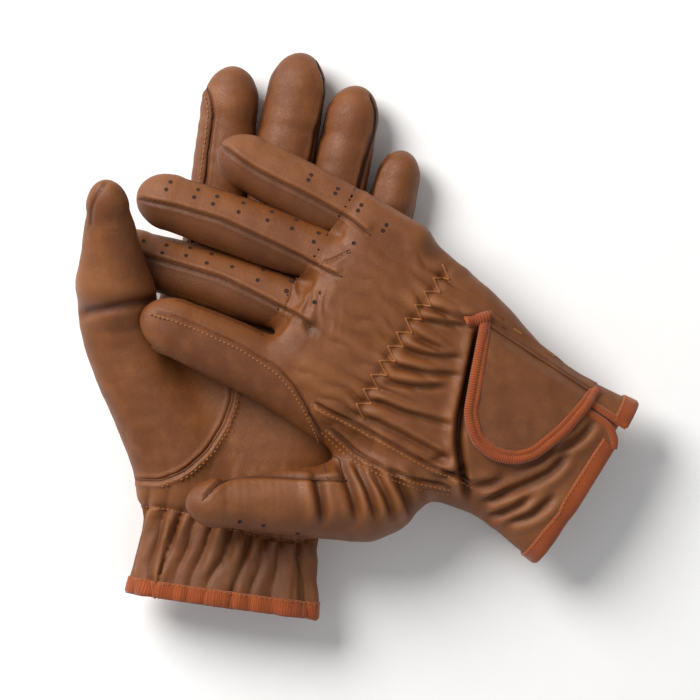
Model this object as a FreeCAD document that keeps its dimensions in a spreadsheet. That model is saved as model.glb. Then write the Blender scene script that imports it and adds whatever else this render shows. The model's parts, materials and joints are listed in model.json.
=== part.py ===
"""A pair of leather riding gloves, laid one across the other.

The left glove lies palm up on the table and the right glove lies back up across its palm, with its
fingertips under the left thumb.  Both gloves share one form: a hand, four fingers and a thumb, each a
smooth skin through ellipses.  Every leather panel is a piece of the wall between two such skins.

Each glove is modelled in its own frame, in millimetres:
    +X  from the cuff's hem towards the fingertips
    +Y  towards the thumb
    +Z  up when the glove is in its place (the palm of the left glove, the back of the right glove)
The row frame has its origin on the table at the centre of the left glove's flattened back, +Z up, and +Y
towards the left glove's fingertips.
"""

import FreeCAD, Part
import Sketcher
import math
import os

from FreeCAD import Placement, Rotation, Vector

GLOVES = ("left", "right")
FINGERS = ("index", "middle", "ring", "pinky")
X_AXIS, Y_AXIS, Z_AXIS = Vector(1, 0, 0), Vector(0, 1, 0), Vector(0, 0, 1)
FAR = 300.0  # longer than any part of a glove, for boxes that trim

# The back of the hand faces up on the right glove and down on the left one.
BACK_SIDE = {"left": -1, "right": 1}
# How far across each finger its fourchettes are, away from the thumb (-FAR) and towards it (FAR).
FOURCHETTE_SIDES = {"index": (-FAR, 0.0), "middle": (-FAR, FAR), "ring": (-FAR, FAR), "pinky": (0.0, FAR)}
# The fingers that bend, by glove.  A curling finger keeps its root on the hand.
CURLING = {"left": FINGERS, "right": ()}
LIFTING = {"left": (), "right": ("ring", "pinky")}

# Widths of a finger along its length, as shares of its full width.
FINGER_PROFILE = ((0.0, 0.80), (0.25, 0.90), (0.5, 1.0), (0.75, 0.98), (0.9, 0.80), (0.97, 0.50), (1.0, 0.15))
# The base of the thumb grows out of the palm, so it is full all the way.
THUMB_BASE_PROFILE = ((0.0, 0.85), (0.5, 1.08), (1.0, 1.0))
THUMB_PROFILE = ((0.0, 1.0), (0.35, 0.97), (0.65, 0.93), (0.87, 0.72), (0.96, 0.45), (1.0, 0.15))

STATIONS = ("cuff", "hem", "wrist", "heel", "palm", "knuckle", "root", "beyond")

COMMON_SIZES = {
    "leather": 1.2,  # thickness of the leather with its lining
    "gap": 0.3,  # room between neighbouring pieces
    "slack": 0.25,  # room between layers that lie on each other
    "tape": 0.9,  # thickness of the binding tape
    "tape_width": 6.0,
    "elastic_width": 7.0,
    "elastic_thickness": 0.8,
    "back_elastic_at": 92.0,
    "palm_elastic_at": 41.0,
    "tab_root_low": 15.0,
    "tab_root_high": 77.0,
    "tab_root_side": -34.0,
    "tab_end_at": 48.0,
    "tab_end_side": -4.0,
    "tab_end_radius": 18.0,
    "tab_leather": 1.0,
    "tab_lining": 0.6,
    "tab_hinge_side": -35.5,
    "tab_hinge_height": 7.5,
    "pad_half_length": 12.0,
    "pad_half_width": 8.5,
    "pad_thickness": 0.8,
    "vent_side": -27.0,
    "vent_width": 5.0,
    "vent_length": 70.0,
    "thread": 0.5,
    "curl_limit": 70.0,
    "lift_limit": 25.0,
    "thumb_limit": 30.0,
}

# Each station of the hand: distance from the hem, middle across, half width, half height, and the
# height of its middle on the left glove, which rests on the table.
HAND_SIZES = {
    "cuff": (-8.0, 0.0, 40.0, 12.0, 17.5),
    "hem": (0.0, 0.0, 40.0, 12.0, 17.5),
    "wrist": (40.0, 1.0, 37.0, 11.5, 17.5),
    "heel": (75.0, 0.0, 46.0, 13.5, 16.5),
    "palm": (105.0, -1.0, 48.0, 13.5, 13.0),
    "knuckle": (132.0, -3.0, 47.5, 11.5, 11.5),
    "root": (146.0, -3.0, 47.0, 9.5, 11.0),
    "beyond": (158.0, -4.0, 44.0, 7.0, 11.0),
}

# Each finger: base x, y, z, tip x, y, z, its middle's bow sideways and upwards, half width, half height.
DIGIT_SIZES = {
    "left_index": (128.0, 27.0, 11.0, 229.0, 26.3, 11.5, 0.0, 0.0, 12.3, 10.5),
    "left_middle": (132.0, 3.2, 11.0, 239.0, -1.7, 11.5, 0.0, 0.0, 12.7, 10.8),
    "left_ring": (128.0, -20.5, 11.0, 228.0, -27.5, 11.5, 0.0, 0.0, 12.0, 10.4),
    "left_pinky": (120.0, -42.0, 11.0, 203.5, -51.0, 10.5, 0.0, 0.0, 10.3, 9.6),
    "right_index": (100.0, 27.8, 0.0, 195.0, 41.2, -1.5, 0.0, 0.0, 13.6, 10.5),
    "right_middle": (112.0, -1.5, 0.0, 222.0, 26.0, -29.0, -3.5, 2.5, 10.8, 10.0),
    "right_ring": (112.0, -24.5, 0.0, 228.0, -1.0, -19.0, -3.0, 3.0, 10.9, 10.0),
    "right_pinky": (105.0, -43.5, 0.0, 209.0, -37.0, -16.0, -1.5, 2.0, 9.8, 9.2),
}

# Each thumb: start x, y, z, knee x, y, z, tip x, y, z, half width, half height.
THUMB_SIZES = {
    "left": (60.0, 26.0, 15.0, 120.0, 61.0, 35.5, 171.0, 72.5, 64.0, 14.5, 12.5),
    "right": (45.0, 26.0, 0.0, 81.0, 62.0, 2.0, 138.0, 98.0, 8.0, 14.5, 11.5),
}

# Where each glove's frame stands in the row frame: x, y, z, heading and slope in degrees.
GLOVE_PLACES = {
    "left": (-17.85, -113.8, 0.0, 82.0, 0.0),
    "right": (138.25, -60.9, 19.5, 147.2, 8.5),
}

# Where each bending finger folds: distance from its base along its chord.
FOLD_PLACES = {
    "left_index": 64.0,
    "left_middle": 66.0,
    "left_ring": 60.0,
    "left_pinky": 55.0,
    "right_ring": 38.0,
    "right_pinky": 44.0,
}

doc = FreeCAD.newDocument("leather_gloves")
sheet = doc.addObject("Spreadsheet::Sheet", "sizes")
hinges = {}  # name: a point on the hinge and its axis, in the row frame, turning the way it opens


# ---------------------------------------------------------------- driving dimensions


def write_sheet():
    """Puts every driving dimension in a named cell."""
    rows = dict(COMMON_SIZES)
    for station, values in HAND_SIZES.items():
        for field, value in zip(("at", "mid", "half_width", "half_height", "left_lift"), values):
            rows[f"{station}_{field}"] = value
    for digit, values in DIGIT_SIZES.items():
        fields = [f"{end}_{axis}" for end in ("base", "tip") for axis in "xyz"]
        fields += ["bow", "rise", "half_width", "half_height"]
        for field, value in zip(fields, values):
            rows[f"{digit}_{field}"] = value
    for glove, values in THUMB_SIZES.items():
        fields = [f"{point}_{axis}" for point in ("start", "knee", "tip") for axis in "xyz"]
        for field, value in zip(fields + ["half_width", "half_height"], values):
            rows[f"{glove}_thumb_{field}"] = value
    for glove, values in GLOVE_PLACES.items():
        for field, value in zip(("place_x", "place_y", "place_z", "heading", "slope"), values):
            rows[f"{glove}_{field}"] = value
    for digit, value in FOLD_PLACES.items():
        rows[f"{digit}_fold"] = value
    for row, (alias, value) in enumerate(rows.items(), start=1):
        sheet.set(f"A{row}", alias)
        sheet.set(f"B{row}", str(value))
        sheet.setAlias(f"B{row}", alias)
    doc.recompute()


def size(alias):
    """The number in a named cell."""
    return float(sheet.get(alias))


def point(prefix):
    """The point whose coordinates are the cells prefix_x, prefix_y and prefix_z."""
    return Vector(*(size(f"{prefix}_{axis}") for axis in "xyz"))


# ---------------------------------------------------------------- building blocks


def bind(item, **links):
    """Binds properties of a document object to expressions of the sheet's cells."""
    for name, expression in links.items():
        item.setExpression(name, expression)
    return item


def box(name, place, low, high):
    """A box between two corners given in the frame of place."""
    item = doc.addObject("Part::Box", name)
    item.Length, item.Width, item.Height = high - low
    item.Placement = place.multiply(Placement(low, Rotation()))
    return item


def cut(name, base, *tools):
    """base less each of the tools."""
    for number, tool in enumerate(tools):
        item = doc.addObject("Part::Cut", name if number == len(tools) - 1 else f"{name}_less_{number}")
        item.Base, item.Tool = base, tool
        base = item
    return base


def common(name, base, tool):
    item = doc.addObject("Part::Common", name)
    item.Base, item.Tool = base, tool
    return item


def group(name, *shapes):
    """Separate solids that are one sub-part, such as the two fourchettes of a finger."""
    item = doc.addObject("Part::Compound", name)
    item.Links = list(shapes)
    return item


def section(name, centre, direction, half_width, half_height):
    """An ellipse across direction, its long axis level.  The half sizes are expressions."""
    side = Z_AXIS.cross(direction).normalize()
    item = doc.addObject("Part::Ellipse", name)
    bind(item, MajorRadius=half_width, MinorRadius=half_height)
    item.Placement = Placement(centre, Rotation(side, direction.cross(side), direction, "ZXY"))
    return item


def skin(name, sections):
    """The solid inside a smooth skin through the sections."""
    item = doc.addObject("Part::Loft", name)
    item.Sections, item.Solid, item.Ruled = sections, True, False
    return item


def chord_place(start, end):
    """A frame at start: X towards end, Y level, Z on the upper side."""
    along = (end - start).normalize()
    side = Z_AXIS.cross(along).normalize()
    return Placement(start, Rotation(along, side, along.cross(side), "ZXY"))


def shifted(place, x=0.0, y=0.0, z=0.0):
    return place.multiply(Placement(Vector(x, y, z), Rotation()))


# ---------------------------------------------------------------- forms


def hand_form(glove, name, grow):
    """The hand with its skin moved outwards by the expression grow, in millimetres."""
    sections = []
    for station in STATIONS:
        lift = size(f"{station}_left_lift") if glove == "left" else 0.0
        centre = Vector(size(f"{station}_at"), size(f"{station}_mid"), lift)
        width = f"sizes.{station}_half_width + ({grow})"
        height = f"sizes.{station}_half_height + ({grow})"
        sections.append(section(f"{name}_{station}", centre, X_AXIS, width, height))
    return skin(name, sections)


def sheet_value(expression):
    """The value of a small expression of the sheet's cells, such as sizes.gap - sizes.leather."""
    total = 0.0
    for term in expression.replace("-", "+-").replace(" ", "").split("+"):
        if term:
            sign = -1.0 if term.startswith("-") else 1.0
            term = term.lstrip("-")
            total += sign * (size(term[len("sizes."):]) if term.startswith("sizes.") else float(term))
    return total


def digit_form(name, cells, line, profile, grow):
    """A finger or thumb along line, a function of 0 to 1 that gives a point and a direction."""
    outset = sheet_value(grow)
    sections = []
    for number, (share, fullness) in enumerate(profile):
        centre, direction = line(share)
        if share == 1.0 and fullness < 0.5:
            centre = centre + direction * outset  # the closed tip keeps its wall
        width = f"max(sizes.{cells}_half_width * {fullness} + ({grow}); 0.7)"
        height = f"max(sizes.{cells}_half_height * {fullness} + ({grow}); 0.5)"
        sections.append(section(f"{name}_{number}", centre, direction, width, height))
    return skin(name, sections)


def curve(start, middle, end):
    """The parabola through three points, as a function that gives a point and a direction."""
    control = middle * 2 - (start + end) * 0.5

    def line(t):
        place = start * (1 - t) ** 2 + control * (2 * t * (1 - t)) + end * t**2
        direction = (control - start) * (1 - t) + (end - control) * t
        return place, direction.normalize()

    return line


def finger_line(cells):
    start, end = point(f"{cells}_base"), point(f"{cells}_tip")
    side = Z_AXIS.cross(end - start).normalize()
    middle = (start + end) * 0.5 + side * size(f"{cells}_bow") + Z_AXIS * size(f"{cells}_rise")
    return curve(start, middle, end)


def forms(glove):
    """The glove's outer and inner forms, by name."""
    made = {
        "hand": hand_form(glove, f"{glove}_hand_outer", "0"),
        "hand_inner": hand_form(glove, f"{glove}_hand_inner", "-sizes.leather"),
        "hand_clear": hand_form(glove, f"{glove}_hand_grown", "sizes.gap"),
    }
    low, high = Vector(-FAR, -FAR, -FAR), Vector(size("root_at") + size("gap"), FAR, FAR)
    made["hand_room"] = box(f"{glove}_hand_room", Placement(), low, high)
    for finger in FINGERS:
        cells = f"{glove}_{finger}"
        line = finger_line(cells)
        made[finger] = digit_form(f"{cells}_outer", cells, line, FINGER_PROFILE, "0")
        made[f"{finger}_inner"] = digit_form(f"{cells}_inner", cells, line, FINGER_PROFILE, "-sizes.leather")
    cells = f"{glove}_thumb"
    start, knee, tip = (point(f"{cells}_{name}") for name in ("start", "knee", "tip"))
    base_line = curve(start, (start + knee) * 0.5, knee + (knee - start) * 0.1)
    tip_line = curve(knee - (tip - knee) * 0.1, (knee + tip) * 0.5, tip)
    for grow, ending in (("0", ""), ("-sizes.leather", "_inner")):
        made[f"thumb_base{ending}"] = digit_form(
            f"{cells}_base_form{ending}", cells, base_line, THUMB_BASE_PROFILE, grow
        )
        made[f"thumb{ending}"] = digit_form(f"{cells}_form{ending}", cells, tip_line, THUMB_PROFILE, grow)
    if glove == "left":
        flatten(made)
    return made


def flatten(made):
    """Flattens the underside of the left hand where it rests on the table."""
    made["hand"] = above("left_hand_flat", made["hand"], 0.0)
    made["hand_inner"] = above("left_hand_inner_flat", made["hand_inner"], size("leather"))


def above(name, form, height):
    room = box(f"{name}_room", Placement(), Vector(-FAR, -FAR, height), Vector(FAR, FAR, FAR))
    return common(name, form, room)


# ---------------------------------------------------------------- hinges of the soft digits


def fold(name, glove, place, stub_angle, tip_angle):
    """Records a hinge at place, with its axis across the digit, and returns its notch.

    The notch leaves the room that the leather needs on the folding side, where it would crumple.
    """
    hinges[name] = glove_place(glove).multiply(place).Base, across(glove, place) * -1
    gap, reach = size("gap") / 2, 25.0
    notch = doc.addObject("Part::Wedge", f"{name}_notch")
    notch.Xmin, notch.Xmax = -gap, gap
    notch.X2min = -gap - reach * math.tan(math.radians(stub_angle))
    notch.X2max = gap + reach * math.tan(math.radians(tip_angle))
    notch.Ymin, notch.Ymax = 0.0, reach
    notch.Zmin = notch.Z2min = -FAR
    notch.Zmax = notch.Z2max = FAR
    notch.Placement = place.multiply(Placement(Vector(), Rotation(X_AXIS, 90)))
    return notch


def across(glove, place):
    """The direction of a place's Y in the row frame."""
    return glove_place(glove).multiply(place).Rotation.multVec(Y_AXIS)


def finger_fold(glove, finger, place):
    """The notch of a finger's hinge, or nothing if the finger is fixed."""
    cells = f"{glove}_{finger}"
    if finger not in CURLING[glove] + LIFTING[glove]:
        return None
    place = shifted(place, x=size(f"{cells}_fold"), z=0.5 * size(f"{cells}_half_height"))
    if finger in CURLING[glove]:
        half = size("curl_limit") / 2 + 1
        return fold(f"{cells}_curl", glove, place, half, half)
    return fold(f"{cells}_lift", glove, place, 0.0, size("lift_limit") + 1)


def panel_names(glove):
    """The names of the upper and the lower panel of a digit."""
    return ("back", "palm") if BACK_SIDE[glove] > 0 else ("palm", "back")


# ---------------------------------------------------------------- leather pieces


def finger_pieces(glove, finger, form):
    """Back, palm and fourchettes of one finger, and its tip if the finger curls."""
    cells = f"{glove}_{finger}"
    gap, whole_gap = size("gap") / 2, size("gap")
    start, end = point(f"{cells}_base"), point(f"{cells}_tip")
    place = chord_place(start, end)
    notch = finger_fold(glove, finger, place)
    low = size(f"{cells}_fold") + gap if finger in LIFTING[glove] else 6.0
    high = size(f"{cells}_fold") - gap if finger in CURLING[glove] else FAR
    strip_end = min(high, 0.86 * (end - start).Length)
    band = 0.42 * size(f"{cells}_half_height")
    wall = cut(f"{cells}_wall", form[finger], form[f"{finger}_inner"], form["hand_room"])
    near, far = FOURCHETTE_SIDES[finger]
    room_low = Vector(-FAR, near, -band - whole_gap)
    room_high = Vector(strip_end + whole_gap, far, band + whole_gap)
    strip_room = box(f"{cells}_strip_clear", place, room_low, room_high)
    panels = cut(f"{cells}_panels", wall, strip_room)

    def piece(name, base, corner_low, corner_high):
        """What a box holds of base, less the notch."""
        room = box(f"{name}_room", place, corner_low, corner_high)
        part = common(f"{name}_part", base, room)
        return cut(f"{name}_piece", part, notch) if notch else part

    upper, lower = panel_names(glove)
    pieces = {}
    for name, corners in (
        (upper, (Vector(low, -FAR, gap), Vector(high, FAR, FAR))),
        (lower, (Vector(low, -FAR, -FAR), Vector(high, FAR, -gap))),
    ):
        pieces[f"{cells}_{name}"] = piece(f"{cells}_{name}", panels, *corners)
    corners = Vector(low, near, -band), Vector(strip_end, far, band)
    pieces[f"{cells}_fourchettes"] = piece(f"{cells}_strip", wall, *corners)
    if finger in CURLING[glove]:
        beyond = Vector(size(f"{cells}_fold") + gap, -FAR, -FAR)
        pieces[f"{cells}_tip"] = piece(f"{cells}_tip", wall, beyond, Vector(FAR, FAR, FAR))
    return pieces


def thumb_pieces(glove, form):
    """The thumb's base, which is sewn to the palm, and its two halves beyond the hinge."""
    cells = f"{glove}_thumb"
    gap = size("gap") / 2
    place = chord_place(point(f"{cells}_knee"), point(f"{cells}_tip"))
    height = 0.5 * size(f"{cells}_half_height")
    notch = fold(f"{cells}_lift", glove, shifted(place, z=height), 0.0, size("thumb_limit") + 1)
    upper, lower = panel_names(glove)
    rooms = {
        "base": (Vector(-FAR, -FAR, -FAR), Vector(-gap, FAR, FAR), "thumb_base", [form["hand_clear"]]),
        upper: (Vector(gap, -FAR, gap), Vector(FAR, FAR, FAR), "thumb", [notch]),
        lower: (Vector(gap, -FAR, -FAR), Vector(FAR, FAR, -gap), "thumb", []),
    }
    pieces = {}
    for name, (low, high, of_form, trims) in rooms.items():
        room = box(f"{cells}_{name}_room", place, low, high)
        part = common(f"{cells}_{name}_part", form[of_form], room)
        pieces[f"{cells}_{name}"] = cut(f"{cells}_{name}_piece", part, form[f"{of_form}_inner"], *trims)
    return pieces


def index_patch(glove, form):
    """The wear patch sewn over the thumb side of the index finger."""
    cells = f"{glove}_index"
    line = finger_line(cells)
    outer = digit_form(f"{cells}_patch_outer", cells, line, FINGER_PROFILE, "sizes.gap + sizes.tape")
    inner = digit_form(f"{cells}_patch_inner", cells, line, FINGER_PROFILE, "sizes.gap")
    place = chord_place(point(f"{cells}_base"), point(f"{cells}_tip"))
    start, end = (30.0, size("left_index_fold") - 6.0) if glove == "left" else (50.0, 78.0)
    band = 0.75 * size(f"{cells}_half_height")
    room = box(f"{cells}_patch_room", place, Vector(start, 0.0, -band), Vector(end, FAR, band))
    patch = common(f"{cells}_patch_band", cut(f"{cells}_patch_wall", outer, inner), room)
    return cut(f"{cells}_patch_clear", patch, form["hand_room"])


def hand_panels(glove, form):
    """The back and the palm of the hand, joined along the sides, open at the hem and the digits."""
    span = box(f"{glove}_hand_span", Placement(), Vector(0, -FAR, -FAR), Vector(size("root_at"), FAR, FAR))
    wall = common(f"{glove}_hand_wall", cut(f"{glove}_hand_tube", form["hand"], form["hand_inner"]), span)
    gap = size("gap") / 2
    hem = Vector(0.0, 0.0, size("hem_left_lift") if glove == "left" else 0.0)
    root = Vector(size("root_at"), 0.0, size("root_left_lift") if glove == "left" else 0.0)
    place = chord_place(hem, root)
    rooms = {
        "upper": (Vector(-FAR, -FAR, gap), Vector(FAR, FAR, FAR)),
        "lower": (Vector(-FAR, -FAR, -FAR), Vector(FAR, FAR, -gap)),
    }
    pieces = {}
    for (half, corners), name in zip(rooms.items(), panel_names(glove)):
        room = box(f"{glove}_{half}_room", place, *corners)
        vent = [vent_box(glove, "slot", 0.0, 0.0)] if name == "back" else []
        part = common(f"{glove}_hand_{half}_part", wall, room)
        pieces[f"{glove}_hand_{name}"] = cut(f"{glove}_hand_{half}", part, *vent, form["thumb_base_inner"])
    return pieces


# ---------------------------------------------------------------- cuff


def back_box(glove, name, x_low, x_high, y_low, y_high):
    """A box over a rectangle of the back of the glove, from its middle outwards."""
    middle = size("hem_left_lift") if glove == "left" else 0.0
    side = BACK_SIDE[glove]
    low = Vector(x_low, y_low, min(middle, middle + side * FAR))
    high = Vector(x_high, y_high, max(middle, middle + side * FAR))
    return box(f"{glove}_{name}", Placement(), low, high)


def vent_box(glove, name, grow, end_grow):
    half = size("vent_width") / 2 + grow
    side = size("vent_side")
    return back_box(glove, f"vent_{name}", -10.0, size("vent_length") + end_grow, side - half, side + half)


def layer(glove, name, low, high):
    """The shell between two skins that follow the hand, at heights given as expressions."""
    outer = hand_form(glove, f"{glove}_{name}_high", high)
    inner = hand_form(glove, f"{glove}_{name}_low", low)
    return cut(f"{glove}_{name}_layer", outer, inner)


def channel(glove):
    """The wrapped tape's two faces and its fold, as one shell with room for the leather in it."""
    whole = layer(glove, "tape", "-sizes.leather - sizes.slack - sizes.tape", "sizes.slack + sizes.tape")
    return whole, layer(glove, "leather_room", "-sizes.leather - sizes.slack", "sizes.slack")


def bindings(glove):
    """Tape folded over the hem and over the edges of the vent."""
    whole, leather_room = channel(glove)
    width, tape = size("tape_width"), size("tape")
    hem_room = box(f"{glove}_hem_room", Placement(), Vector(-tape - 0.1, -FAR, -FAR), Vector(width, FAR, FAR))
    inside = box(f"{glove}_hem_inside", Placement(), Vector(-0.1, -FAR, -FAR), Vector(FAR, FAR, FAR))
    hem_leather = common(f"{glove}_hem_leather", leather_room, inside)
    vent_outer = vent_box(glove, "outer", 3.5, 3.5)
    hem = cut(f"{glove}_hem_tape", common(f"{glove}_hem_wrap", whole, hem_room), hem_leather,
              vent_box(glove, "outer_room", 3.5 + size("gap"), 4.0))
    slot_inner = vent_box(glove, "inner", -0.1 - tape, -0.1 - tape)
    slot_edge = vent_box(glove, "edge", -0.1, -0.1)
    vent_leather = cut(f"{glove}_vent_leather", leather_room, slot_edge)
    start = box(f"{glove}_vent_start", Placement(), Vector(-tape - 0.1, -FAR, -FAR), Vector(FAR, FAR, FAR))
    wrap = common(f"{glove}_vent_wrap", common(f"{glove}_vent_band", whole, vent_outer), start)
    vent = cut(f"{glove}_vent_tape", wrap, vent_leather, slot_inner)
    return {f"{glove}_hem_binding": hem, f"{glove}_vent_binding": vent}


def elastics(glove):
    """Two bands of elastic inside the wrist, one that gathers the back and one the palm."""
    ring = layer(glove, "elastic", "-sizes.leather - 0.5 - sizes.elastic_thickness", "-sizes.leather - 0.5")
    bands = []
    for name, side in (("back", BACK_SIDE[glove]), ("palm", -BACK_SIDE[glove])):
        at, half = size(f"{name}_elastic_at"), size("elastic_width") / 2
        middle = size("wrist_left_lift") if glove == "left" else 0.0
        edge = middle + side * 3.0
        low = Vector(at - half, -0.9 * size("wrist_half_width"), min(edge, edge + side * FAR))
        high = Vector(at + half, 0.9 * size("wrist_half_width"), max(edge, edge + side * FAR))
        room = box(f"{glove}_{name}_elastic_room", Placement(), low, high)
        band = common(f"{glove}_{name}_elastic", ring, room)
        bands.append(cut(f"{glove}_{name}_elastic_clear", band, form_of[glove]["thumb_base_inner"],
                         vent_box(glove, f"{name}_elastic_gap", 5.0, 5.0)))
    if glove == "left":
        bands = [above(f"left_elastic_{n}_flat", band, size("leather") + 0.5) for n, band in enumerate(bands)]
    return group(f"{glove}_elastic_bands", *bands)


def zigzag(glove, name, at, teeth, side):
    """A zigzag run of thread across the hand, lying on the leather."""
    pitch, depth, half = 8.0, 5.5, 0.45
    corners = [(at + depth * (n % 2), (n - teeth / 2) * pitch) for n in range(teeth + 1)]
    nodes = [Vector(x - half, y, 0) for x, y in corners] + [Vector(x + half, y, 0) for x, y in reversed(corners)]
    outline = doc.addObject("Part::Polygon", f"{glove}_{name}_outline")
    outline.Nodes, outline.Close = nodes, True
    outline.Placement = Placement(Vector(0, 0, size("wrist_left_lift") if glove == "left" else 0.0), Rotation())
    prism = doc.addObject("Part::Extrusion", f"{glove}_{name}_prism")
    prism.Base, prism.DirMode, prism.Dir, prism.LengthFwd, prism.Solid = outline, "Custom", Z_AXIS * side, 60, True
    return common(f"{glove}_{name}_thread", thread_layer[glove], prism)


def shirring_thread(glove):
    """The zigzag stitches that hold the two elastics."""
    back = zigzag(glove, "back_zigzag", size("back_elastic_at") - 3, 8, BACK_SIDE[glove])
    palm = zigzag(glove, "palm_zigzag", size("palm_elastic_at") - 3, 7, -BACK_SIDE[glove])
    base = form_of[glove]["thumb_base"]
    runs = [cut(f"{glove}_{name}_run", run, base) for name, run in (("back", back), ("palm", palm))]
    return group(f"{glove}_shirring", *runs)


# ---------------------------------------------------------------- closure tab


def tab_outline(glove, name, inset):
    """A sketch of the tab seen on the back: a straight root, two tangent sides and a round end."""
    sketch = doc.addObject("Sketcher::SketchObject", f"{glove}_{name}_sketch")
    low = Vector(size("tab_root_low") + inset, size("tab_root_side"), 0)
    high = Vector(size("tab_root_high") - inset, size("tab_root_side"), 0)
    centre = Vector(size("tab_end_at"), size("tab_end_side"), 0)
    radius = size("tab_end_radius") - inset
    touch_low = tangent_point(low, centre, radius, 1)
    touch_high = tangent_point(high, centre, radius, -1)
    first, last = (math.atan2(p.y - centre.y, p.x - centre.x) for p in (touch_high, touch_low))
    lines = [Part.LineSegment(touch_low, low), Part.LineSegment(low, high), Part.LineSegment(high, touch_high)]
    arc = Part.ArcOfCircle(Part.Circle(centre, Z_AXIS, radius), first, last)
    sketch.addGeometry(lines + [arc], False)
    for one, other in ((0, 1), (1, 2)):
        sketch.addConstraint(Sketcher.Constraint("Coincident", one, 2, other, 1))
    sketch.addConstraint(Sketcher.Constraint("Tangent", 2, 2, 3, 1))
    sketch.addConstraint(Sketcher.Constraint("Tangent", 3, 2, 0, 1))
    root_side, inset_text = "-sizes.tab_root_side", f"({inset})"
    # The positions are distances from the origin, so each expression keeps its cell's sign.
    named = (
        ("DistanceX", (1, 1), low.x, f"sizes.tab_root_low + {inset_text}"),
        ("DistanceY", (1, 1), low.y, "sizes.tab_root_side"),
        ("DistanceX", (1, 2), high.x, f"sizes.tab_root_high - {inset_text}"),
        ("DistanceY", (1, 2), high.y, "sizes.tab_root_side"),
        ("DistanceX", (3, 3), centre.x, "sizes.tab_end_at"),
        ("DistanceY", (3, 3), centre.y, "sizes.tab_end_side"),
    )
    for kind, (item, end), value, expression in named:
        index = sketch.addConstraint(Sketcher.Constraint(kind, -1, 1, item, end, value))
        sketch.setExpression(f"Constraints[{index}]", expression)
    index = sketch.addConstraint(Sketcher.Constraint("Radius", 3, radius))
    sketch.setExpression(f"Constraints[{index}]", f"sizes.tab_end_radius - {inset_text}")
    middle = size("hem_left_lift") if glove == "left" else 0.0
    sketch.Placement = Placement(Vector(0, 0, middle), Rotation())
    prism = doc.addObject("Part::Extrusion", f"{glove}_{name}_prism")
    prism.Base, prism.DirMode, prism.Dir = sketch, "Custom", Z_AXIS * BACK_SIDE[glove]
    prism.LengthFwd, prism.Solid = 60, True
    return prism


def tangent_point(start, centre, radius, turn):
    """Where the tangent from start touches the circle, on the side given by turn."""
    away = start - centre
    angle = math.atan2(away.y, away.x) - turn * math.acos(radius / away.Length)
    return centre + Vector(math.cos(angle), math.sin(angle), 0) * radius


def closure(glove):
    """The tab, its two touch-fastener pads and the binding round its edge."""
    tape = size("tape")
    pads = {}
    for name, low, high in (
        ("loop_pad", "0.2", "0.2 + sizes.pad_thickness"),
        ("hook_pad", "0.4 + sizes.pad_thickness", "0.4 + sizes.pad_thickness + sizes.pad_thickness"),
    ):
        inset = 0.0 if name == "loop_pad" else 1.5
        at, side = size("tab_end_at"), size("tab_end_side")
        length, width = size("pad_half_length") - inset, size("pad_half_width") - inset
        room = back_box(glove, f"{name}_room", at - length, at + length, side - width, side + width)
        pads[f"{glove}_{name}"] = common(f"{glove}_{name}_piece", layer(glove, name, low, high), room)
    base = 2 * size("pad_thickness") + 0.6
    lining_top = base + size("tab_lining")
    leather_low = lining_top + 0.1
    leather_top = leather_low + size("tab_leather")
    inner = tab_outline(glove, "tab", tape + 0.1)
    whole = tab_outline(glove, "tab_whole", 0.0)
    window = tab_outline(glove, "tab_window", 5.0)
    lining = common(f"{glove}_lining_piece", layer(glove, "lining", f"{base}", f"{lining_top}"), inner)
    leather = common(f"{glove}_tab_piece", layer(glove, "tab", f"{leather_low}", f"{leather_top}"), inner)
    wrap = layer(glove, "wrap", f"{base - 0.1} - sizes.tape", f"{leather_top + 0.1} + sizes.tape")
    room = layer(glove, "wrap_room", f"{base - 0.1}", f"{leather_top + 0.1}")
    stack_room = common(f"{glove}_stack_room", room, tab_outline(glove, "stack", tape))
    binding = cut(f"{glove}_tab_wrap", common(f"{glove}_tab_band", wrap, whole), stack_room, window)
    root = Vector(size("tab_end_at"), size("tab_hinge_side"), BACK_SIDE[glove] * size("tab_hinge_height"))
    if glove == "left":
        root.z += size("wrist_left_lift")
    place = glove_place(glove)
    hinges[f"{glove}_tab_open"] = place.multVec(root), place.Rotation.multVec(X_AXIS * BACK_SIDE[glove])
    pads[f"{glove}_tab_lining"] = lining
    pads[f"{glove}_tab_leather"] = leather
    pads[f"{glove}_tab_binding"] = binding
    return pads


# ---------------------------------------------------------------- assembly


def glove_place(glove):
    """The glove's frame in the row frame."""
    slope = Rotation(Y_AXIS, -size(f"{glove}_slope"))
    return Placement(point(f"{glove}_place"), Rotation(Z_AXIS, size(f"{glove}_heading")).multiply(slope))


def build(glove):
    """Every piece of one glove, by node name."""
    form = form_of[glove]
    pieces = {}
    pieces.update(hand_panels(glove, form))
    for finger in FINGERS:
        pieces.update(finger_pieces(glove, finger, form))
    pieces.update(thumb_pieces(glove, form))
    pieces[f"{glove}_index_patch"] = index_patch(glove, form)
    pieces[f"{glove}_wrist_elastics"] = elastics(glove)
    pieces[f"{glove}_shirring_thread"] = shirring_thread(glove)
    pieces.update(bindings(glove))
    pieces.update(closure(glove))
    return pieces


def finish(pieces, glove):
    """Names each piece and puts it in its place."""
    for name, item in pieces.items():
        item.Label = name
        item.Placement = glove_place(glove)


def check_and_write(pieces):
    """Stops at a failed object, then writes each piece to its own file."""
    failed = [item.Name for item in doc.Objects if {"Invalid", "Error"} & set(item.State)]
    if failed:
        raise RuntimeError(f"these objects failed: {failed}")
    for name, item in pieces.items():
        shape = item.Shape
        if shape.isNull() or not shape.isValid() or not shape.Solids:
            raise RuntimeError(f"{name} has no valid solid")
    os.makedirs("parts", exist_ok=True)
    for name, item in pieces.items():
        item.Shape.exportStep(os.path.join("parts", f"{name}.step"))


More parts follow.
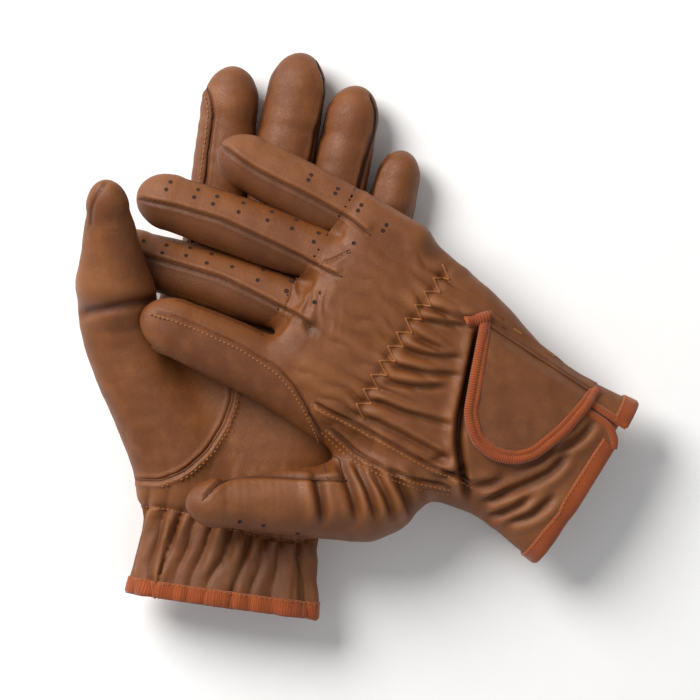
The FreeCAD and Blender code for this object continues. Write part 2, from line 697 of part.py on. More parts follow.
write_sheet()
form_of = {glove: forms(glove) for glove in GLOVES}
thread_layer = {glove: layer(glove, "thread", "0.15", "0.15 + sizes.thread") for glove in GLOVES}
nodes = {}
for glove in GLOVES:
    made = build(glove)
    finish(made, glove)
    nodes.update(made)
doc.recompute()
check_and_write(nodes)
print(len(nodes), "pieces")
for name, (hinge_point, axis) in hinges.items():
    print(name, [round(v, 3) for v in hinge_point], [round(v, 5) for v in axis])
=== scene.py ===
"""Looks of the pair of leather riding gloves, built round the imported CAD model.

Each glove is worked in its own frame, in millimetres: u from the hem to the fingertips, v towards the
thumb and w up.  Its hand, thumb and fingers are measured from the CAD nodes, joined into one smooth
leather skin, given their seams, gathers and creases, and split where the glove bends.
"""

import bpy
import json
import math
import numpy as np
import openvdb
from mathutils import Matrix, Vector
from mathutils.bvhtree import BVHTree


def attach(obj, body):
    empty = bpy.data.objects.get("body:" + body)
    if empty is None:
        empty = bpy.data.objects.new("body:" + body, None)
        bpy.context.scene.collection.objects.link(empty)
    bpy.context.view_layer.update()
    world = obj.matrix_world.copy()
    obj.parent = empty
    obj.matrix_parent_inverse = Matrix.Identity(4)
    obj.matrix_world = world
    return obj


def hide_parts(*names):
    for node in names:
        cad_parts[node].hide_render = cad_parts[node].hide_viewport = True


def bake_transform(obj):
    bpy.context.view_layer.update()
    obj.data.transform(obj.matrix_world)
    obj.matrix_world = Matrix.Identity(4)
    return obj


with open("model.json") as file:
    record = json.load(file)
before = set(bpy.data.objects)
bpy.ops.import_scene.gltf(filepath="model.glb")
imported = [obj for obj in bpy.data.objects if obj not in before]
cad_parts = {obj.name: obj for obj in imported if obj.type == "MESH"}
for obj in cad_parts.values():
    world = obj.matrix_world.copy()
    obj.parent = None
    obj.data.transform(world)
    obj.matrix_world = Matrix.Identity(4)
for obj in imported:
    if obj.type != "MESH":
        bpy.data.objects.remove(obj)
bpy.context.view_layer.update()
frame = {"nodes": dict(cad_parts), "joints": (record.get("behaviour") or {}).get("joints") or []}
JOINTS = {j["name"]: j for j in frame["joints"]}
NODES = frame["nodes"]
MM = 0.001
VOXEL = 0.8
LEATHER = 1.2  # thickness of the skin
CUT_AT = 152.0  # where the fingers' own pieces start
CUT_OVERLAP = 4.0
LOWEST = -0.0008  # metres; everything rests on this level
FINGERS = ("index", "middle", "ring", "pinky")


# ---------------------------------------------------------------- glove frames
class Frame:
    """A glove's own frame: axes as columns and the origin, in row millimetres."""

    # The tab's hinge in each glove's own frame.
    HINGE = {"right": (48.0, -35.5, 7.5), "left": (48.0, -35.5, 10.0)}

    def __init__(self, glove):
        joint = JOINTS[glove + "_tab_open"]
        u = np.array(joint["axis"], float) * (1 if glove == "right" else -1)
        v = np.cross((0.0, 0.0, 1.0), u)
        v /= np.linalg.norm(v)
        self.axes = np.stack([u, v, np.cross(u, v)], 1)
        hinge = np.array(self.HINGE[glove])
        self.origin = np.array(joint["pos_m"]) / MM - self.axes @ hinge

    def local(self, row):
        return (np.asarray(row, float) / MM - self.origin) @ self.axes

    def row(self, local):
        return (np.asarray(local, float) @ self.axes.T + self.origin) * MM


def node_points(place, names, spacing=1.5):
    """Points along every edge of some CAD nodes, in a glove's frame."""
    found = []
    for name in names:
        mesh = NODES[name].data
        co = np.empty(len(mesh.vertices) * 3)
        mesh.vertices.foreach_get("co", co)
        ends = np.empty(len(mesh.edges) * 2, int)
        mesh.edges.foreach_get("vertices", ends)
        co = place.local(co.reshape(-1, 3))
        a, b = co[ends.reshape(-1, 2)].transpose(1, 0, 2)
        steps = np.ceil(np.linalg.norm(b - a, axis=1) / spacing).astype(int) + 1
        for count in np.unique(steps):
            pick = steps == count
            t = np.linspace(0, 1, count + 1)[None, :, None]
            found.append((a[pick][:, None] * (1 - t) + b[pick][:, None] * t).reshape(-1, 3))
    return np.concatenate(found)


# ---------------------------------------------------------------- forms
def middle_and_half(values):
    return (values.min() + values.max()) / 2, (values.max() - values.min()) / 2


def unit(vector):
    return np.array(vector, float) / np.linalg.norm(vector)


def smooth_rows(rows, passes=2):
    rows = rows.copy()
    for _ in range(passes):
        rows[1:-1] = (rows[:-2] + 2 * rows[1:-1] + rows[2:]) / 4
    return rows


class Tube:
    """A digit: an elliptical tube along a bent line with a round end."""

    SLICES = 11  # cuts across the CAD nodes that it is measured from
    BACK = 30.0  # how far it reaches back into the hand
    FULL_AT = 0.62  # the share of its length where the round end takes its size
    STEPS = 9  # rows of its straight stretch, and of its round end
    THINNEST = 0.4

    def __init__(self, points, back_scale, base=None, taper=0.0, short=0.0):
        centre = points.mean(0)
        axis = np.linalg.svd(points - centre, full_matrices=False)[2][0]
        axis *= np.sign(axis[0])
        side = unit(np.cross((0.0, 0.0, 1.0), axis))
        up = np.cross(axis, side)
        flat = (points - centre) @ np.stack([axis, side, up], 1)
        low, high = flat[:, 0].min(), flat[:, 0].max() - short
        slice_half = (high - low) / self.SLICES * 0.6
        rows = []
        for s in np.linspace(low + 3.0, high - 5.0, self.SLICES):
            inside = flat[np.abs(flat[:, 0] - s) < slice_half]
            y, a = middle_and_half(inside[:, 1])
            z, b = middle_and_half(inside[:, 2])
            rows.append((s, y, z, a, b))
        rows = smooth_rows(np.array(rows))
        self.axis, self.side, self.up = axis, side, up
        rows[:, 3:5] *= 1 - taper * ramp(rows[:, 0:1], low + 0.15 * (high - low), high)
        full = rows[int(self.SLICES * self.FULL_AT)]
        full = full * np.array([1, 1, 1, 1 - taper * 0.35, 1 - taper * 0.35])
        start = high - 1.12 * full[3]
        along = [low - self.BACK, low - self.BACK * 0.5] + list(np.linspace(low, start, self.STEPS))
        along += list(start + (high - start) * np.sin(np.linspace(0.16, 1.0, self.STEPS) * math.pi / 2))
        out = []
        for s in along:
            y, z, a, b = (np.interp(s, rows[:, 0], rows[:, k]) for k in (1, 2, 3, 4))
            if s < low:
                slope = (rows[3, 1:3] - rows[0, 1:3]) / (rows[3, 0] - rows[0, 0])
                y, z = rows[0, 1:3] + slope * (s - rows[0, 0])
                share = (low - s) / self.BACK
                a, b = a * (1 + (back_scale - 1) * share), b * (1 + (back_scale - 1) * share)
            if s > start:
                round_end = math.sqrt(max(0.0, 1 - ((s - start) / (high - start)) ** 2))
                a, b = (max(half * 0.98 * round_end, self.THINNEST) for half in full[3:5])
            out.append(np.concatenate([centre + axis * s + side * y + up * z, (a, b)]))
        if base is not None:
            out = [np.array(row) for row in base] + out[1:]
        # Every other row is put in between on a smooth curve, so the outline has no corners.
        line = np.array(out)
        padded = np.vstack([2 * line[0] - line[1], line, 2 * line[-1] - line[-2]])
        between = (9 * (line[:-1] + line[1:]) - padded[:-3] - padded[3:]) / 16
        self.line = np.empty((2 * len(line) - 1, 5))
        self.line[::2], self.line[1::2] = line, between
        self.line[2:-6] = (self.line[1:-7] + 2 * self.line[2:-6] + self.line[3:-5]) / 4
        self.line[:, 3:5] = np.maximum(self.line[:, 3:5], self.THINNEST)

    def widen(self, by):
        """Makes it wider towards the thumb, except near its two ends."""
        share = np.linspace(0, 1, len(self.line))
        by = by * ramp(share, 0.0, 0.25) * ramp(1 - share, 0.0, 0.35)
        self.line[:, :3] += self.side * by[:, None] / 2
        self.line[:, 3] += by / 2

    def box(self, margin):
        reach = self.line[:, 3:5].max() + margin
        return self.line[:, :3].min(0) - reach, self.line[:, :3].max(0) + reach

    def distance(self, p):
        best = np.full(len(p), 1e3, np.float32)
        for k in range(len(self.line) - 1):
            a, b = self.line[k], self.line[k + 1]
            d = b[:3] - a[:3]
            t = np.clip((p - a[:3]) @ d / (d @ d), 0, 1)
            q = p - (a[:3] + t[:, None] * d)
            ra = a[3] + (b[3] - a[3]) * t
            rb = a[4] + (b[4] - a[4]) * t
            x, z = q @ self.side, q @ self.up
            rest = q - x[:, None] * self.side - z[:, None] * self.up
            y = np.linalg.norm(rest, axis=1) / ra
            k0 = np.sqrt((x / ra) ** 2 + (z / rb) ** 2 + y ** 2) + 1e-6
            k1 = np.sqrt((x / ra**2) ** 2 + (z / rb**2) ** 2 + (y / ra) ** 2) + 1e-6
            best = np.minimum(best, k0 * (k0 - 1) / k1)
        return best


class Hand:
    """The hand: a flattened tube along u, measured from its two panels."""

    POWER = 2.25  # how square its section is: 2 is an ellipse
    SLICES = 24
    THUMB_BASE = (40.0, 76.0)  # where the thumb's base cuts into the panels, so this stretch is bridged
    END_EDGE, END_SOFT = 9.0, 11.0  # where the round edge at the fingers starts, and its length

    def __init__(self, points, end):
        rows = []
        for u in np.linspace(points[:, 0].min() + 2.0, points[:, 0].max() - 2.0, self.SLICES):
            inside = points[np.abs(points[:, 0] - u) < 4.0]
            y, a = middle_and_half(inside[:, 1])
            z, b = middle_and_half(inside[:, 2])
            rows.append((u, y, z, a, b))
        rows = np.array(rows)
        rows = rows[(rows[:, 0] < self.THUMB_BASE[0]) | (rows[:, 0] > self.THUMB_BASE[1])]
        self.rows = smooth_rows(rows)
        self.end = end

    def row_at(self, u):
        return [np.interp(u, self.rows[:, 0], self.rows[:, k]) for k in (1, 2, 3, 4)]

    def distance(self, p):
        y, z, a, b = self.row_at(p[:, 0])
        # The end towards the fingers closes with a round edge.
        past = np.clip((p[:, 0] - (self.end - self.END_EDGE)) / self.END_SOFT, 0, 0.995)
        b = b * np.sqrt(1 - past**2 * 0.8)
        x, h = np.abs(p[:, 1] - y) + 1e-4, np.abs(p[:, 2] - z) + 1e-4
        e = self.POWER
        k0 = ((x / a) ** e + (h / b) ** e) ** (1 / e)
        g = k0 ** (1 - e) * np.sqrt(((x / a) ** (e - 1) / a) ** 2 + ((h / b) ** (e - 1) / b) ** 2)
        return np.maximum((k0 - 1) / g, p[:, 0] - self.end)


def soft_min(a, b, k):
    h = np.maximum(k - np.abs(a - b), 0) / k
    return np.minimum(a, b) - h * h * k / 4


def skin_mesh(low, high, field):
    """Vertices and quads of the zero surface of a field, on a lattice all pieces share."""
    low = np.floor(np.array(low) / VOXEL).astype(int)
    high = np.ceil(np.array(high) / VOXEL).astype(int)
    shape = high - low + 1
    axes = [np.arange(low[k], high[k] + 1) * VOXEL for k in range(3)]
    values = np.empty(shape, np.float32)
    for i, u in enumerate(axes[0]):
        v, w = np.meshgrid(axes[1], axes[2], indexing="ij")
        p = np.stack([np.full(v.size, u), v.ravel(), w.ravel()], 1)
        values[i] = field(p).reshape(v.shape)
    grid = openvdb.FloatGrid(background=9.0)
    grid.copyFromArray(np.clip(values, -9, 9))
    points, quads = grid.convertToQuads(isovalue=0.0)
    return (points + low) * VOXEL, quads.copy()


def vertex_normals(points, faces):
    a, b, c, d = (points[faces[:, k]] for k in range(4))
    n = np.cross(c - a, d - b)
    out = np.zeros_like(points)
    for k in range(4):
        for axis in range(3):
            out[:, axis] += np.bincount(faces[:, k], n[:, axis], len(points))
    return out / (np.linalg.norm(out, axis=1, keepdims=True) + 1e-9)


# ---------------------------------------------------------------- glove shapes
# How far each finger's leather ends short of the CAD node's end.
SHORT = {"left": {"index": 4.0, "middle": 4.5, "ring": 3.5, "pinky": 3.0},
         "right": {"index": 0.0, "middle": 2.0, "ring": 5.5, "pinky": 6.0}}

# How much wider each finger lies towards the thumb, where its side strip spreads.
WIDER = {"left": {}, "right": {"middle": 3.6, "ring": 3.4, "pinky": 5.5}}


HAND_END = 145.5
FINGER_JOIN, THUMB_JOIN = 5.0, 12.0  # how softly a digit runs into the hand

# The thumb's rise at its base, how much it thins towards its tip and how far it ends short of the node's end.
THUMB = {"left": (8.0, 0.34, 3.0), "right": (0.0, 0.26, 0.0)}


def build_forms(glove, place):
    """A glove's hand and digits, measured from its CAD nodes."""
    prefix = glove + "_"
    hand = Hand(node_points(place, [prefix + "hand_back", prefix + "hand_palm"]), HAND_END)
    digits = {}
    for finger in FINGERS:
        names = [n for n in NODES if n.startswith(prefix + finger) and "patch" not in n]
        digits[finger] = Tube(node_points(place, names), 0.9, short=SHORT[glove][finger])
    for finger, wider in WIDER[glove].items():
        digits[finger].widen(wider)
    y, z, a, _ = hand.row_at(50.0)
    rise, taper, short = THUMB[glove]
    thumb_points = node_points(place, [prefix + "thumb_back", prefix + "thumb_palm"])
    base = [(50.0, y + a * 0.5, z, 15.0, 11.0), (72.0, y + a * 0.92, z + rise, 17.0, 13.0)]
    digits["thumb"] = Tube(thumb_points, 1.0, base, taper, short)
    return hand, digits


def hand_field(hand, digits):
    boxes = {name: digit.box(8.0) for name, digit in digits.items()}

    def field(p):
        d = hand.distance(p)
        for name, digit in digits.items():
            low, high = boxes[name]
            near = np.all((p > low) & (p < high), axis=1)
            if near.any():
                k = THUMB_JOIN if name == "thumb" else FINGER_JOIN
                d[near] = soft_min(d[near], digit.distance(p[near]), k)
        return d

    return field


def finger_field(hand, digit):
    def field(p):
        return soft_min(hand.distance(p), digit.distance(p), FINGER_JOIN)

    return field


def renumbered(points, faces):
    """The vertices that some faces use, and the faces with their places among them."""
    used = np.unique(faces)
    index = np.full(len(points), -1)
    index[used] = np.arange(len(used))
    return used, index[faces]


def trimmed(points, faces, keep):
    used, faces = renumbered(points, faces[keep])
    return Skin(points[used], faces)


class Skin:
    """The outer surface of one piece before and after it is worked, in the glove's frame."""

    CREST_FROM, CREST_SPAN = 0.5, 2.2  # the lift where the painted highlight on raised leather starts, and its span

    def __init__(self, points, faces):
        self.points, self.faces = points, faces
        self.normals = vertex_normals(points, faces)
        self.shade = np.zeros(len(points))

    def centres(self):
        return self.points[self.faces].mean(1)

    def rest_centres(self):
        return self.rest[self.faces].mean(1)

    def face_normals(self):
        return self.normals[self.faces].mean(1)

    def work(self, relief):
        lift, shade = relief(self.points, self.normals)
        self.rest = self.points
        self.points = self.points + self.normals * lift[:, None]
        self.normals = vertex_normals(self.points, self.faces)
        self.shade = shade
        # How far each point is lifted sets how much painted highlight it gets.
        self.crest = np.clip((lift - self.CREST_FROM) / self.CREST_SPAN, 0, 1)

    def part(self, keep):
        """The vertices used by some faces and those faces renumbered."""
        return renumbered(self.points, self.faces[keep])


def border_edges(faces):
    edges = np.concatenate([faces[:, [k, (k + 1) % 4]] for k in range(4)])
    low, high = edges.min(1), edges.max(1)
    key = low.astype(np.int64) * (faces.max() + 1) + high
    _, first, counts = np.unique(key, return_index=True, return_counts=True)
    return edges[first[counts == 1]]


def closed_shell(points, normals, faces, out_by, in_by):
    """A sheet of leather between two offsets of a surface, with its rims."""
    n = len(points)
    outer = points + normals * out_by
    inner = points - normals * in_by
    edges = border_edges(faces)
    rims = np.stack([edges[:, 1], edges[:, 0], edges[:, 0] + n, edges[:, 1] + n], 1)
    all_faces = np.concatenate([faces, faces[:, ::-1] + n, rims])
    return np.concatenate([outer, inner]), all_faces


def add_mesh(name, place, points, faces, material, normals=None, **layers):
    """A mesh in the row frame that keeps where each point is in its glove, with more values at each point."""
    mesh = bpy.data.meshes.new(name)
    rows = place.row(points)
    rows[:, 2] = np.maximum(rows[:, 2], LOWEST)
    if isinstance(faces, np.ndarray):
        mesh.vertices.add(len(rows))
        mesh.vertices.foreach_set("co", rows.astype(np.float32).ravel())
        width = faces.shape[1]
        mesh.loops.add(faces.size)
        mesh.loops.foreach_set("vertex_index", faces.astype(np.int32).ravel())
        mesh.polygons.add(len(faces))
        mesh.polygons.foreach_set("loop_start", np.arange(0, faces.size, width, dtype=np.int32))
        mesh.update(calc_edges=True)
        mesh.validate()
    else:
        mesh.from_pydata([tuple(r) for r in rows], [], faces)
    mesh.polygons.foreach_set("use_smooth", np.full(len(mesh.polygons), True))
    local = mesh.attributes.new("local", "FLOAT_VECTOR", "POINT")
    local.data.foreach_set("vector", np.asarray(points, np.float32).ravel())
    for label, values in layers.items():
        if values is not None:
            layer = mesh.attributes.new(label, "FLOAT", "POINT")
            layer.data.foreach_set("value", np.asarray(values, np.float32))
    if normals is not None and len(mesh.vertices) == len(normals):
        mesh.normals_split_custom_set_from_vertices((normals @ place.axes.T).astype(np.float32))
    mesh.materials.append(material)
    made = bpy.data.objects.new(name, mesh)
    bpy.context.scene.collection.objects.link(made)
    return made


def add_skin(name, place, skin, keep, material, side=None, side_material=None):
    used, faces = skin.part(keep)
    normals = skin.normals[used]
    points, all_faces = closed_shell(skin.points[used], normals, faces, 0.0, LEATHER)
    both = np.concatenate([normals, -normals])
    shade, crest = (np.concatenate([values[used]] * 2) for values in (skin.shade, skin.crest))
    made = add_mesh(name, place, points, all_faces, material, both, shade=shade, crest=crest)
    if side is not None:
        made.data.materials.append(side_material)
        which = np.zeros(len(all_faces), np.int32)
        which[: len(faces)] = side[keep]
        if len(made.data.polygons) == len(which):
            made.data.polygons.foreach_set("material_index", which)
    return made


# ---------------------------------------------------------------- relief
class Path2:
    """A bent line over the upper side of a glove, as u and v."""

    def __init__(self, points, step=2.0):
        points = np.array(points, float)
        knots = np.concatenate([[0], np.cumsum(np.linalg.norm(np.diff(points, axis=0), axis=1))])
        count = max(4, int(knots[-1] / step))
        s = np.linspace(0, knots[-1], count + 1)
        uv = np.stack([np.interp(s, knots, points[:, k]) for k in (0, 1)], 1)
        for _ in range(2):
            uv[1:-1] = (uv[:-2] + 2 * uv[1:-1] + uv[2:]) / 4
        self.uv, self.length = uv, knots[-1]

    def near(self, p, reach):
        """Signed distance (positive to the left) and place along for points within reach, else far."""
        side = np.full(len(p), 99.0)
        along = np.zeros(len(p))
        low, high = self.uv.min(0) - reach, self.uv.max(0) + reach
        close = np.nonzero(np.all((p[:, :2] > low) & (p[:, :2] < high), axis=1))[0]
        q = p[close, :2]
        best = np.full(len(q), 99.0)
        signed = np.full(len(q), 99.0)
        place = np.zeros(len(q))
        step = self.length / (len(self.uv) - 1)
        for k in range(len(self.uv) - 1):
            a, b = self.uv[k], self.uv[k + 1]
            d = b - a
            t = np.clip((q - a) @ d / (d @ d), 0, 1)
            off = q - a - t[:, None] * d
            r = np.linalg.norm(off, axis=1)
            sign = np.sign(d[0] * off[:, 1] - d[1] * off[:, 0])
            better = r < best
            best[better], signed[better] = r[better], (r * sign)[better]
            place[better] = ((k + t) * step)[better]
        side[close], along[close] = signed, place
        return side, along

    def shifted(self, by):
        """The same line moved to its left by some distance, as points."""
        d = np.gradient(self.uv, axis=0)
        d /= np.linalg.norm(d, axis=1, keepdims=True)
        return self.uv + np.stack([-d[:, 1], d[:, 0]], 1) * by

    def snapped(self, points, limit):
        """Points moved across the line until they lie a signed distance from it."""
        q = points[:, :2]
        best, out = np.full(len(q), 1e9), q.copy()
        for k in range(len(self.uv) - 1):
            a, b = self.uv[k], self.uv[k + 1]
            d = (b - a) / np.linalg.norm(b - a)
            t = np.clip((q - a) @ d, 0, np.linalg.norm(b - a))
            foot = a + t[:, None] * d
            r = np.linalg.norm(q - foot, axis=1)
            better = r < best
            best[better] = r[better]
            out[better] = foot[better] + np.array([-d[1], d[0]]) * limit
        return np.column_stack([out, points[:, 2]])


def bell(x, width):
    return np.exp(-((x / width) ** 2))


def ramp(x, low, high):
    t = np.clip((x - low) / (high - low), 0, 1)
    return t * t * (3 - 2 * t)


def swell(p, length, seed, stretch=(1.0, 1.0, 1.0)):
    """A smooth uneven field about -1 to 1 with humps about length across."""
    dice = np.random.RandomState(seed)
    total = np.zeros(len(p))
    for _ in range(7):
        d = dice.normal(size=3) / np.array(stretch)
        d *= dice.uniform(0.7, 1.4) * 2 * math.pi / length / math.sqrt(3)
        total += np.sin(p @ d + dice.uniform(0, 2 * math.pi))
    return total / 3.2


class Relief:
    """Adds up how far each point of the skin is lifted and how much painted shade it gets in its creases,
    grooves and folds.
    """

    def __init__(self, p, n):
        self.p = p
        self.lift = np.zeros(len(p))
        self.shade = np.zeros(len(p))
        self.up = ramp(n[:, 2], -0.1, 0.25)

    def seam(self, path, depth=0.7, lip=0.45, width=0.9, raised=0.0, side=1):
        s, along = path.near(self.p, 9.0)
        ends = ramp(along, 0, 3.0) * ramp(path.length - along, 0, 3.0) * self.up
        shape = -depth * bell(s, width) + lip * bell(np.abs(s) - 1.9 * width, 1.1 * width)
        shape = shape + raised * ramp(s * side, -0.2, 0.4) * bell(np.clip(s * side, 0, 99), 4.0)
        self.lift += shape * ends
        self.shade += 0.75 * bell(s, width) * ends

    def fold(self, path, depth=1.6, width=2.2, bulge=0.8, dark=0.5, taper=9.0, everywhere=False, side=0):
        s, along = path.near(self.p, 14.0)
        ends = ramp(along, 0, taper) * ramp(path.length - along, 0, taper)
        if not everywhere:
            ends = ends * self.up
        bulge = np.where(s * side < 0, 0.15 * bulge, bulge)
        self.lift += (-depth * bell(s, width) + bulge * bell(np.abs(s) - 2.3 * width, 1.6 * width)) * ends
        self.shade += dark * bell(s, width) * ends

    def gathers(self, path, pitch, low_height, high_height, low_reach, high_reach, seed):
        """Puckers across a line: some towards the hem and some towards the fingers."""
        s, along = path.near(self.p, 45.0)
        along = along + 1.6 * swell(self.p, 22.0, seed)
        ridge = np.abs(np.sin(math.pi * along / pitch)) ** 0.8 - 0.55
        broad = swell(np.stack([self.p[:, 0] * 0.25, self.p[:, 1], self.p[:, 2]], 1), 13.0, seed + 1)
        reach = np.where(s > 0, high_reach, low_reach) * (1 + 0.35 * broad)
        height = np.where(s > 0, high_height, low_height) * (1 + 0.5 * swell(self.p, 17.0, seed + 2))
        near = np.exp(-np.abs(s) / np.maximum(reach, 1.0)) * self.up * (np.abs(s) < 60)
        self.lift += ridge * height * near
        self.lift -= 0.9 * bell(s, 2.2) * self.up
        self.shade += 0.45 * np.clip(-ridge, 0, 1) * near
        self.lift += broad * 0.8 * near

    def add(self, lift, shade=0.0):
        self.lift += lift
        self.shade += shade


# Lines over the upper side of each glove, as (u, v) in its own frame.
RIGHT_SEAMS = {
    "ring": [(227, 2.5), (212, -3.4), (193, -9.2), (175, -11.8), (157, -14.2), (143, -15.2), (138, -16.5)],
    "middle": [(222, 24.5), (211, 21.4), (198, 17.2), (179, 11.4), (164, 9.6), (151, 8.2), (142, 7.2),
               (137.5, 8.8)],
    "pinky": [(209, -36.2), (203, -35.4), (193, -34.9), (183, -35.8), (172, -37.3), (160, -38.3), (149, -39),
              (137, -37.8)],
}
PATCH_LINE = [(197, 39), (187, 35.7), (175, 33.6), (158, 31.2), (139, 31), (128.6, 33.9), (118.6, 38.9),
              (110.6, 43.2), (104, 47)]
UPPER_SEAM = [(119, 34.5), (110, 34), (101.8, 33.1), (79, 31.5), (63, 30.7), (50, 28), (42, 27.4)]
DOUBLE_SEAM = [(107, 40.4), (91, 43.4), (77, 41.6), (63, 38.6), (50, 33.5)]
DART = [(148, -16), (144, -21), (141, -27)]
THUMB_SEAM = [(137, 95), (135, 86), (130, 79.5), (113, 69), (97, 60), (89, 55)]
RIGHT_SHIRR = [(100, 29), (102.4, 11), (102.8, -5), (102.6, -25), (101, -44)]
WRIST_FOLD = [(78, -33), (75, -26), (71, -16), (67, -5), (62.5, 7), (58, 15), (49.5, 25), (42, 32), (37, 36)]
CUFF_FOLDS = (
    [(44, 30), (37, 24), (30, 17)],
    [(36, 34), (31, 26), (25, 19), (17, 6), (14, -8)],
    [(58, 34), (52, 28), (47, 21)],
    [(30, 38), (22, 28), (17, 16)],
    [(66, 30), (60, 26), (56, 21)],
    [(22, 36), (13, 24), (9, 10)],
    [(20, -2), (14, -14), (12, -26)],
)
THUMB_FOLDS = (
    [(98, 48), (86, 57), (74, 68)],
    [(93, 45), (79, 54), (66, 64)],
    [(86, 43), (72, 51), (60, 60)],
    [(78, 40), (66, 46), (54, 54)],
    [(104, 58), (94, 68), (86, 78)],
)
PUCKERS = (
    [(101.5, -24.7), (88.5, -28), (76.5, -33)],
    [(101.5, -18.5), (90.5, -23), (77.5, -30)],
    [(101.5, -11), (91.5, -12.5), (80.5, -14)],
    [(102, -3.7), (88.5, -8), (74.5, -16)],
    [(102, 4.4), (86.5, -1), (70.5, -9.5)],
    [(101.5, 12.5), (88.5, 7), (73.5, -2)],
    [(101, 21.3), (82.5, 17), (61.5, 10.5)],
    [(99.5, 28.5), (79.5, 26), (56.5, 24)],
)
VENT_SEAM = [(78, -35.4), (64, -35.4), (47, -35.4), (28, -35.4)]
THENAR = [(141, 40), (129, 27), (113, 13), (96, 8.6), (87, 7.4), (76.4, 9.6), (64, 15.2), (54.5, 23.5),
          (49, 33), (48, 44)]
LEFT_SHIRR = [(36, 46), (36.6, 38), (37, 26), (34.8, 13), (31.8, -2), (30.6, -17), (30.6, -28), (33.6, -44)]
THUMB_SLIT = [(170, 72), (165, 75), (159, 77), (152, 76.5)]
LEFT_SEAMS = {
    "index": [(220, 38), (212.7, 34.4), (208, 33.2), (198, 33.1), (192, 33), (182, 32.6), (168, 33),
              (152, 34)],
    "middle": [(237, -7.6), (230, -11.6), (222, -13.2), (211, -12.2), (196, -11), (170, -9)],
    "ring": [(226, -32.4), (219, -36.2), (210, -36.8), (199, -35), (180, -33), (160, -31)],
    "pinky": [(202, -45), (198, -41.5), (192, -39.6), (184, -38.8), (168, -37), (154, -36)],
}
# Pairs of holes along the right fingers, as (u, v of one, v of the other).
HOLES = {
    "ring": [(219, -11, -7.3), (207.5, -14.6, -11), (199.4, -16.6, -12.9), (188.6, -20.3, -15.9),
             (176.5, -23.7, -19.6), (166, -26.4, -22.3), (155.4, -26.8, -22.5), (141.2, -31.2, -26.9)],
    "middle": [(214.3, 16.3, 20.1), (205.2, 12.5, 16.2), (196.2, 8, 11.7), (187.4, 5.3, 9.6),
               (177.6, 0.4, 5.1), (165.8, -1, 4), (153.5, -3.5, 1.3), (141.8, -5.9, -1.2)],
    "pinky": [(171, -45.9, -43.4), (158.5, -47.1, -44.8), (146.8, -46.6, -43.8), (133.5, -45.2, -42.4)],
}
TAB_OUTLINE = [(18.5, -34), (19.5, -26), (22, -12), (27, 3), (33, 9.5), (42, 13), (52.5, 11.5), (61.5, 3.5),
               (67.8, -11), (73.2, -25), (76.5, -34)]
QUIRK = [(102.7, 51.3), (95.6, 48.8), (90.5, 56.7), (96.4, 59.4), (102.7, 51.3)]
THUMB_DOTS = [(118.3, 94.2), (108.7, 90.2), (94.0, 85.4)]
BARTACKS = [(61, -37.8), (43, -37.4)]
ZIGZAG_STEP, ZIGZAG_REACH = 3.45, 3.1
VENT_FOLD = [(82.5, -29), (80.5, -31), (78, -33.5), (75.5, -36)]
PALM_ELASTIC = [(41, -36), (41, -20), (41, 0), (41, 20), (41, 34)]
BACK_ELASTIC = [(92, -34), (92, -20), (92, 0), (92, 20), (92, 32)]


def right_relief(part):
    def relief(p, n):
        r = Relief(p, n)
        soft = ramp(150.0 - p[:, 0], 0, 40)
        r.add(0.9 * swell(p, 34, 3, (1.6, 1, 1)) * (0.25 + 0.75 * soft))
        r.add(0.14 * swell(p, 13, 4, (1, 2.2, 1)) * (0.35 + 0.65 * soft))
        if part in RIGHT_SEAMS:
            r.seam(Path2(RIGHT_SEAMS[part]), 1.0, 0.3, 0.9, raised=0.9, side=1)
            r.add(0.07 * swell(p, 7.0, 9, (0.7, 3, 3)))
        if part in ("index", "hand"):
            r.seam(Path2(PATCH_LINE), 0.7, 0.2, 0.8, raised=0.55, side=-1)
        if part == "hand":
            for name in ("ring", "middle", "pinky"):
                r.seam(Path2(RIGHT_SEAMS[name]), 1.0, 0.3, 0.9, raised=0.9, side=1)
            r.seam(Path2(DART), 0.6, 0.3, 0.7)
            r.seam(Path2(UPPER_SEAM), 1.2, 0.7, 0.8, raised=0.9, side=-1)
            r.seam(Path2(DOUBLE_SEAM), 1.0, 0.5, 0.8, raised=0.5, side=-1)
            pocket = bell(np.hypot(p[:, 0] - 137.5, p[:, 1] - 9.0), 3.0) * r.up
            r.add(-1.6 * pocket, 1.1 * pocket)
            r.seam(Path2(THUMB_SEAM), 0.8, 0.35, 0.9, raised=0.5, side=1)
            r.gathers(Path2(RIGHT_SHIRR), 6.9, 2.2, 2.2, 14.0, 17.0, 21)
            r.fold(Path2(WRIST_FOLD), 4.4, 1.6, 1.7, 1.5, 12.0, side=-1)
            for fold in CUFF_FOLDS:
                r.fold(Path2(fold), 2.0, 1.6, 1.4, 0.6)
            for fold in PUCKERS:
                r.fold(Path2(fold), 1.5, 1.2, 1.2, 0.6, 7.0, side=1)
            for fold in THUMB_FOLDS:
                r.fold(Path2(fold), 2.4, 1.9, 1.6, 0.7, everywhere=True)
            knuckle = bell(p[:, 0] - 128, 12) * bell((p[:, 1] + 12) % 24 - 12, 6.5) * r.up
            r.add(0.7 * knuckle)
            fine = bell(p[:, 0] - 145, 12) * bell(p[:, 1] - 2, 9) * r.up
            r.add(0.45 * fine * np.sin((p[:, 0] * 0.9 + p[:, 1] * 0.5) * 1.5 + 2 * swell(p, 15, 12)))
            r.seam(Path2(VENT_SEAM), 0.9, 0.4, 0.9)
        return r.lift, r.shade

    return relief


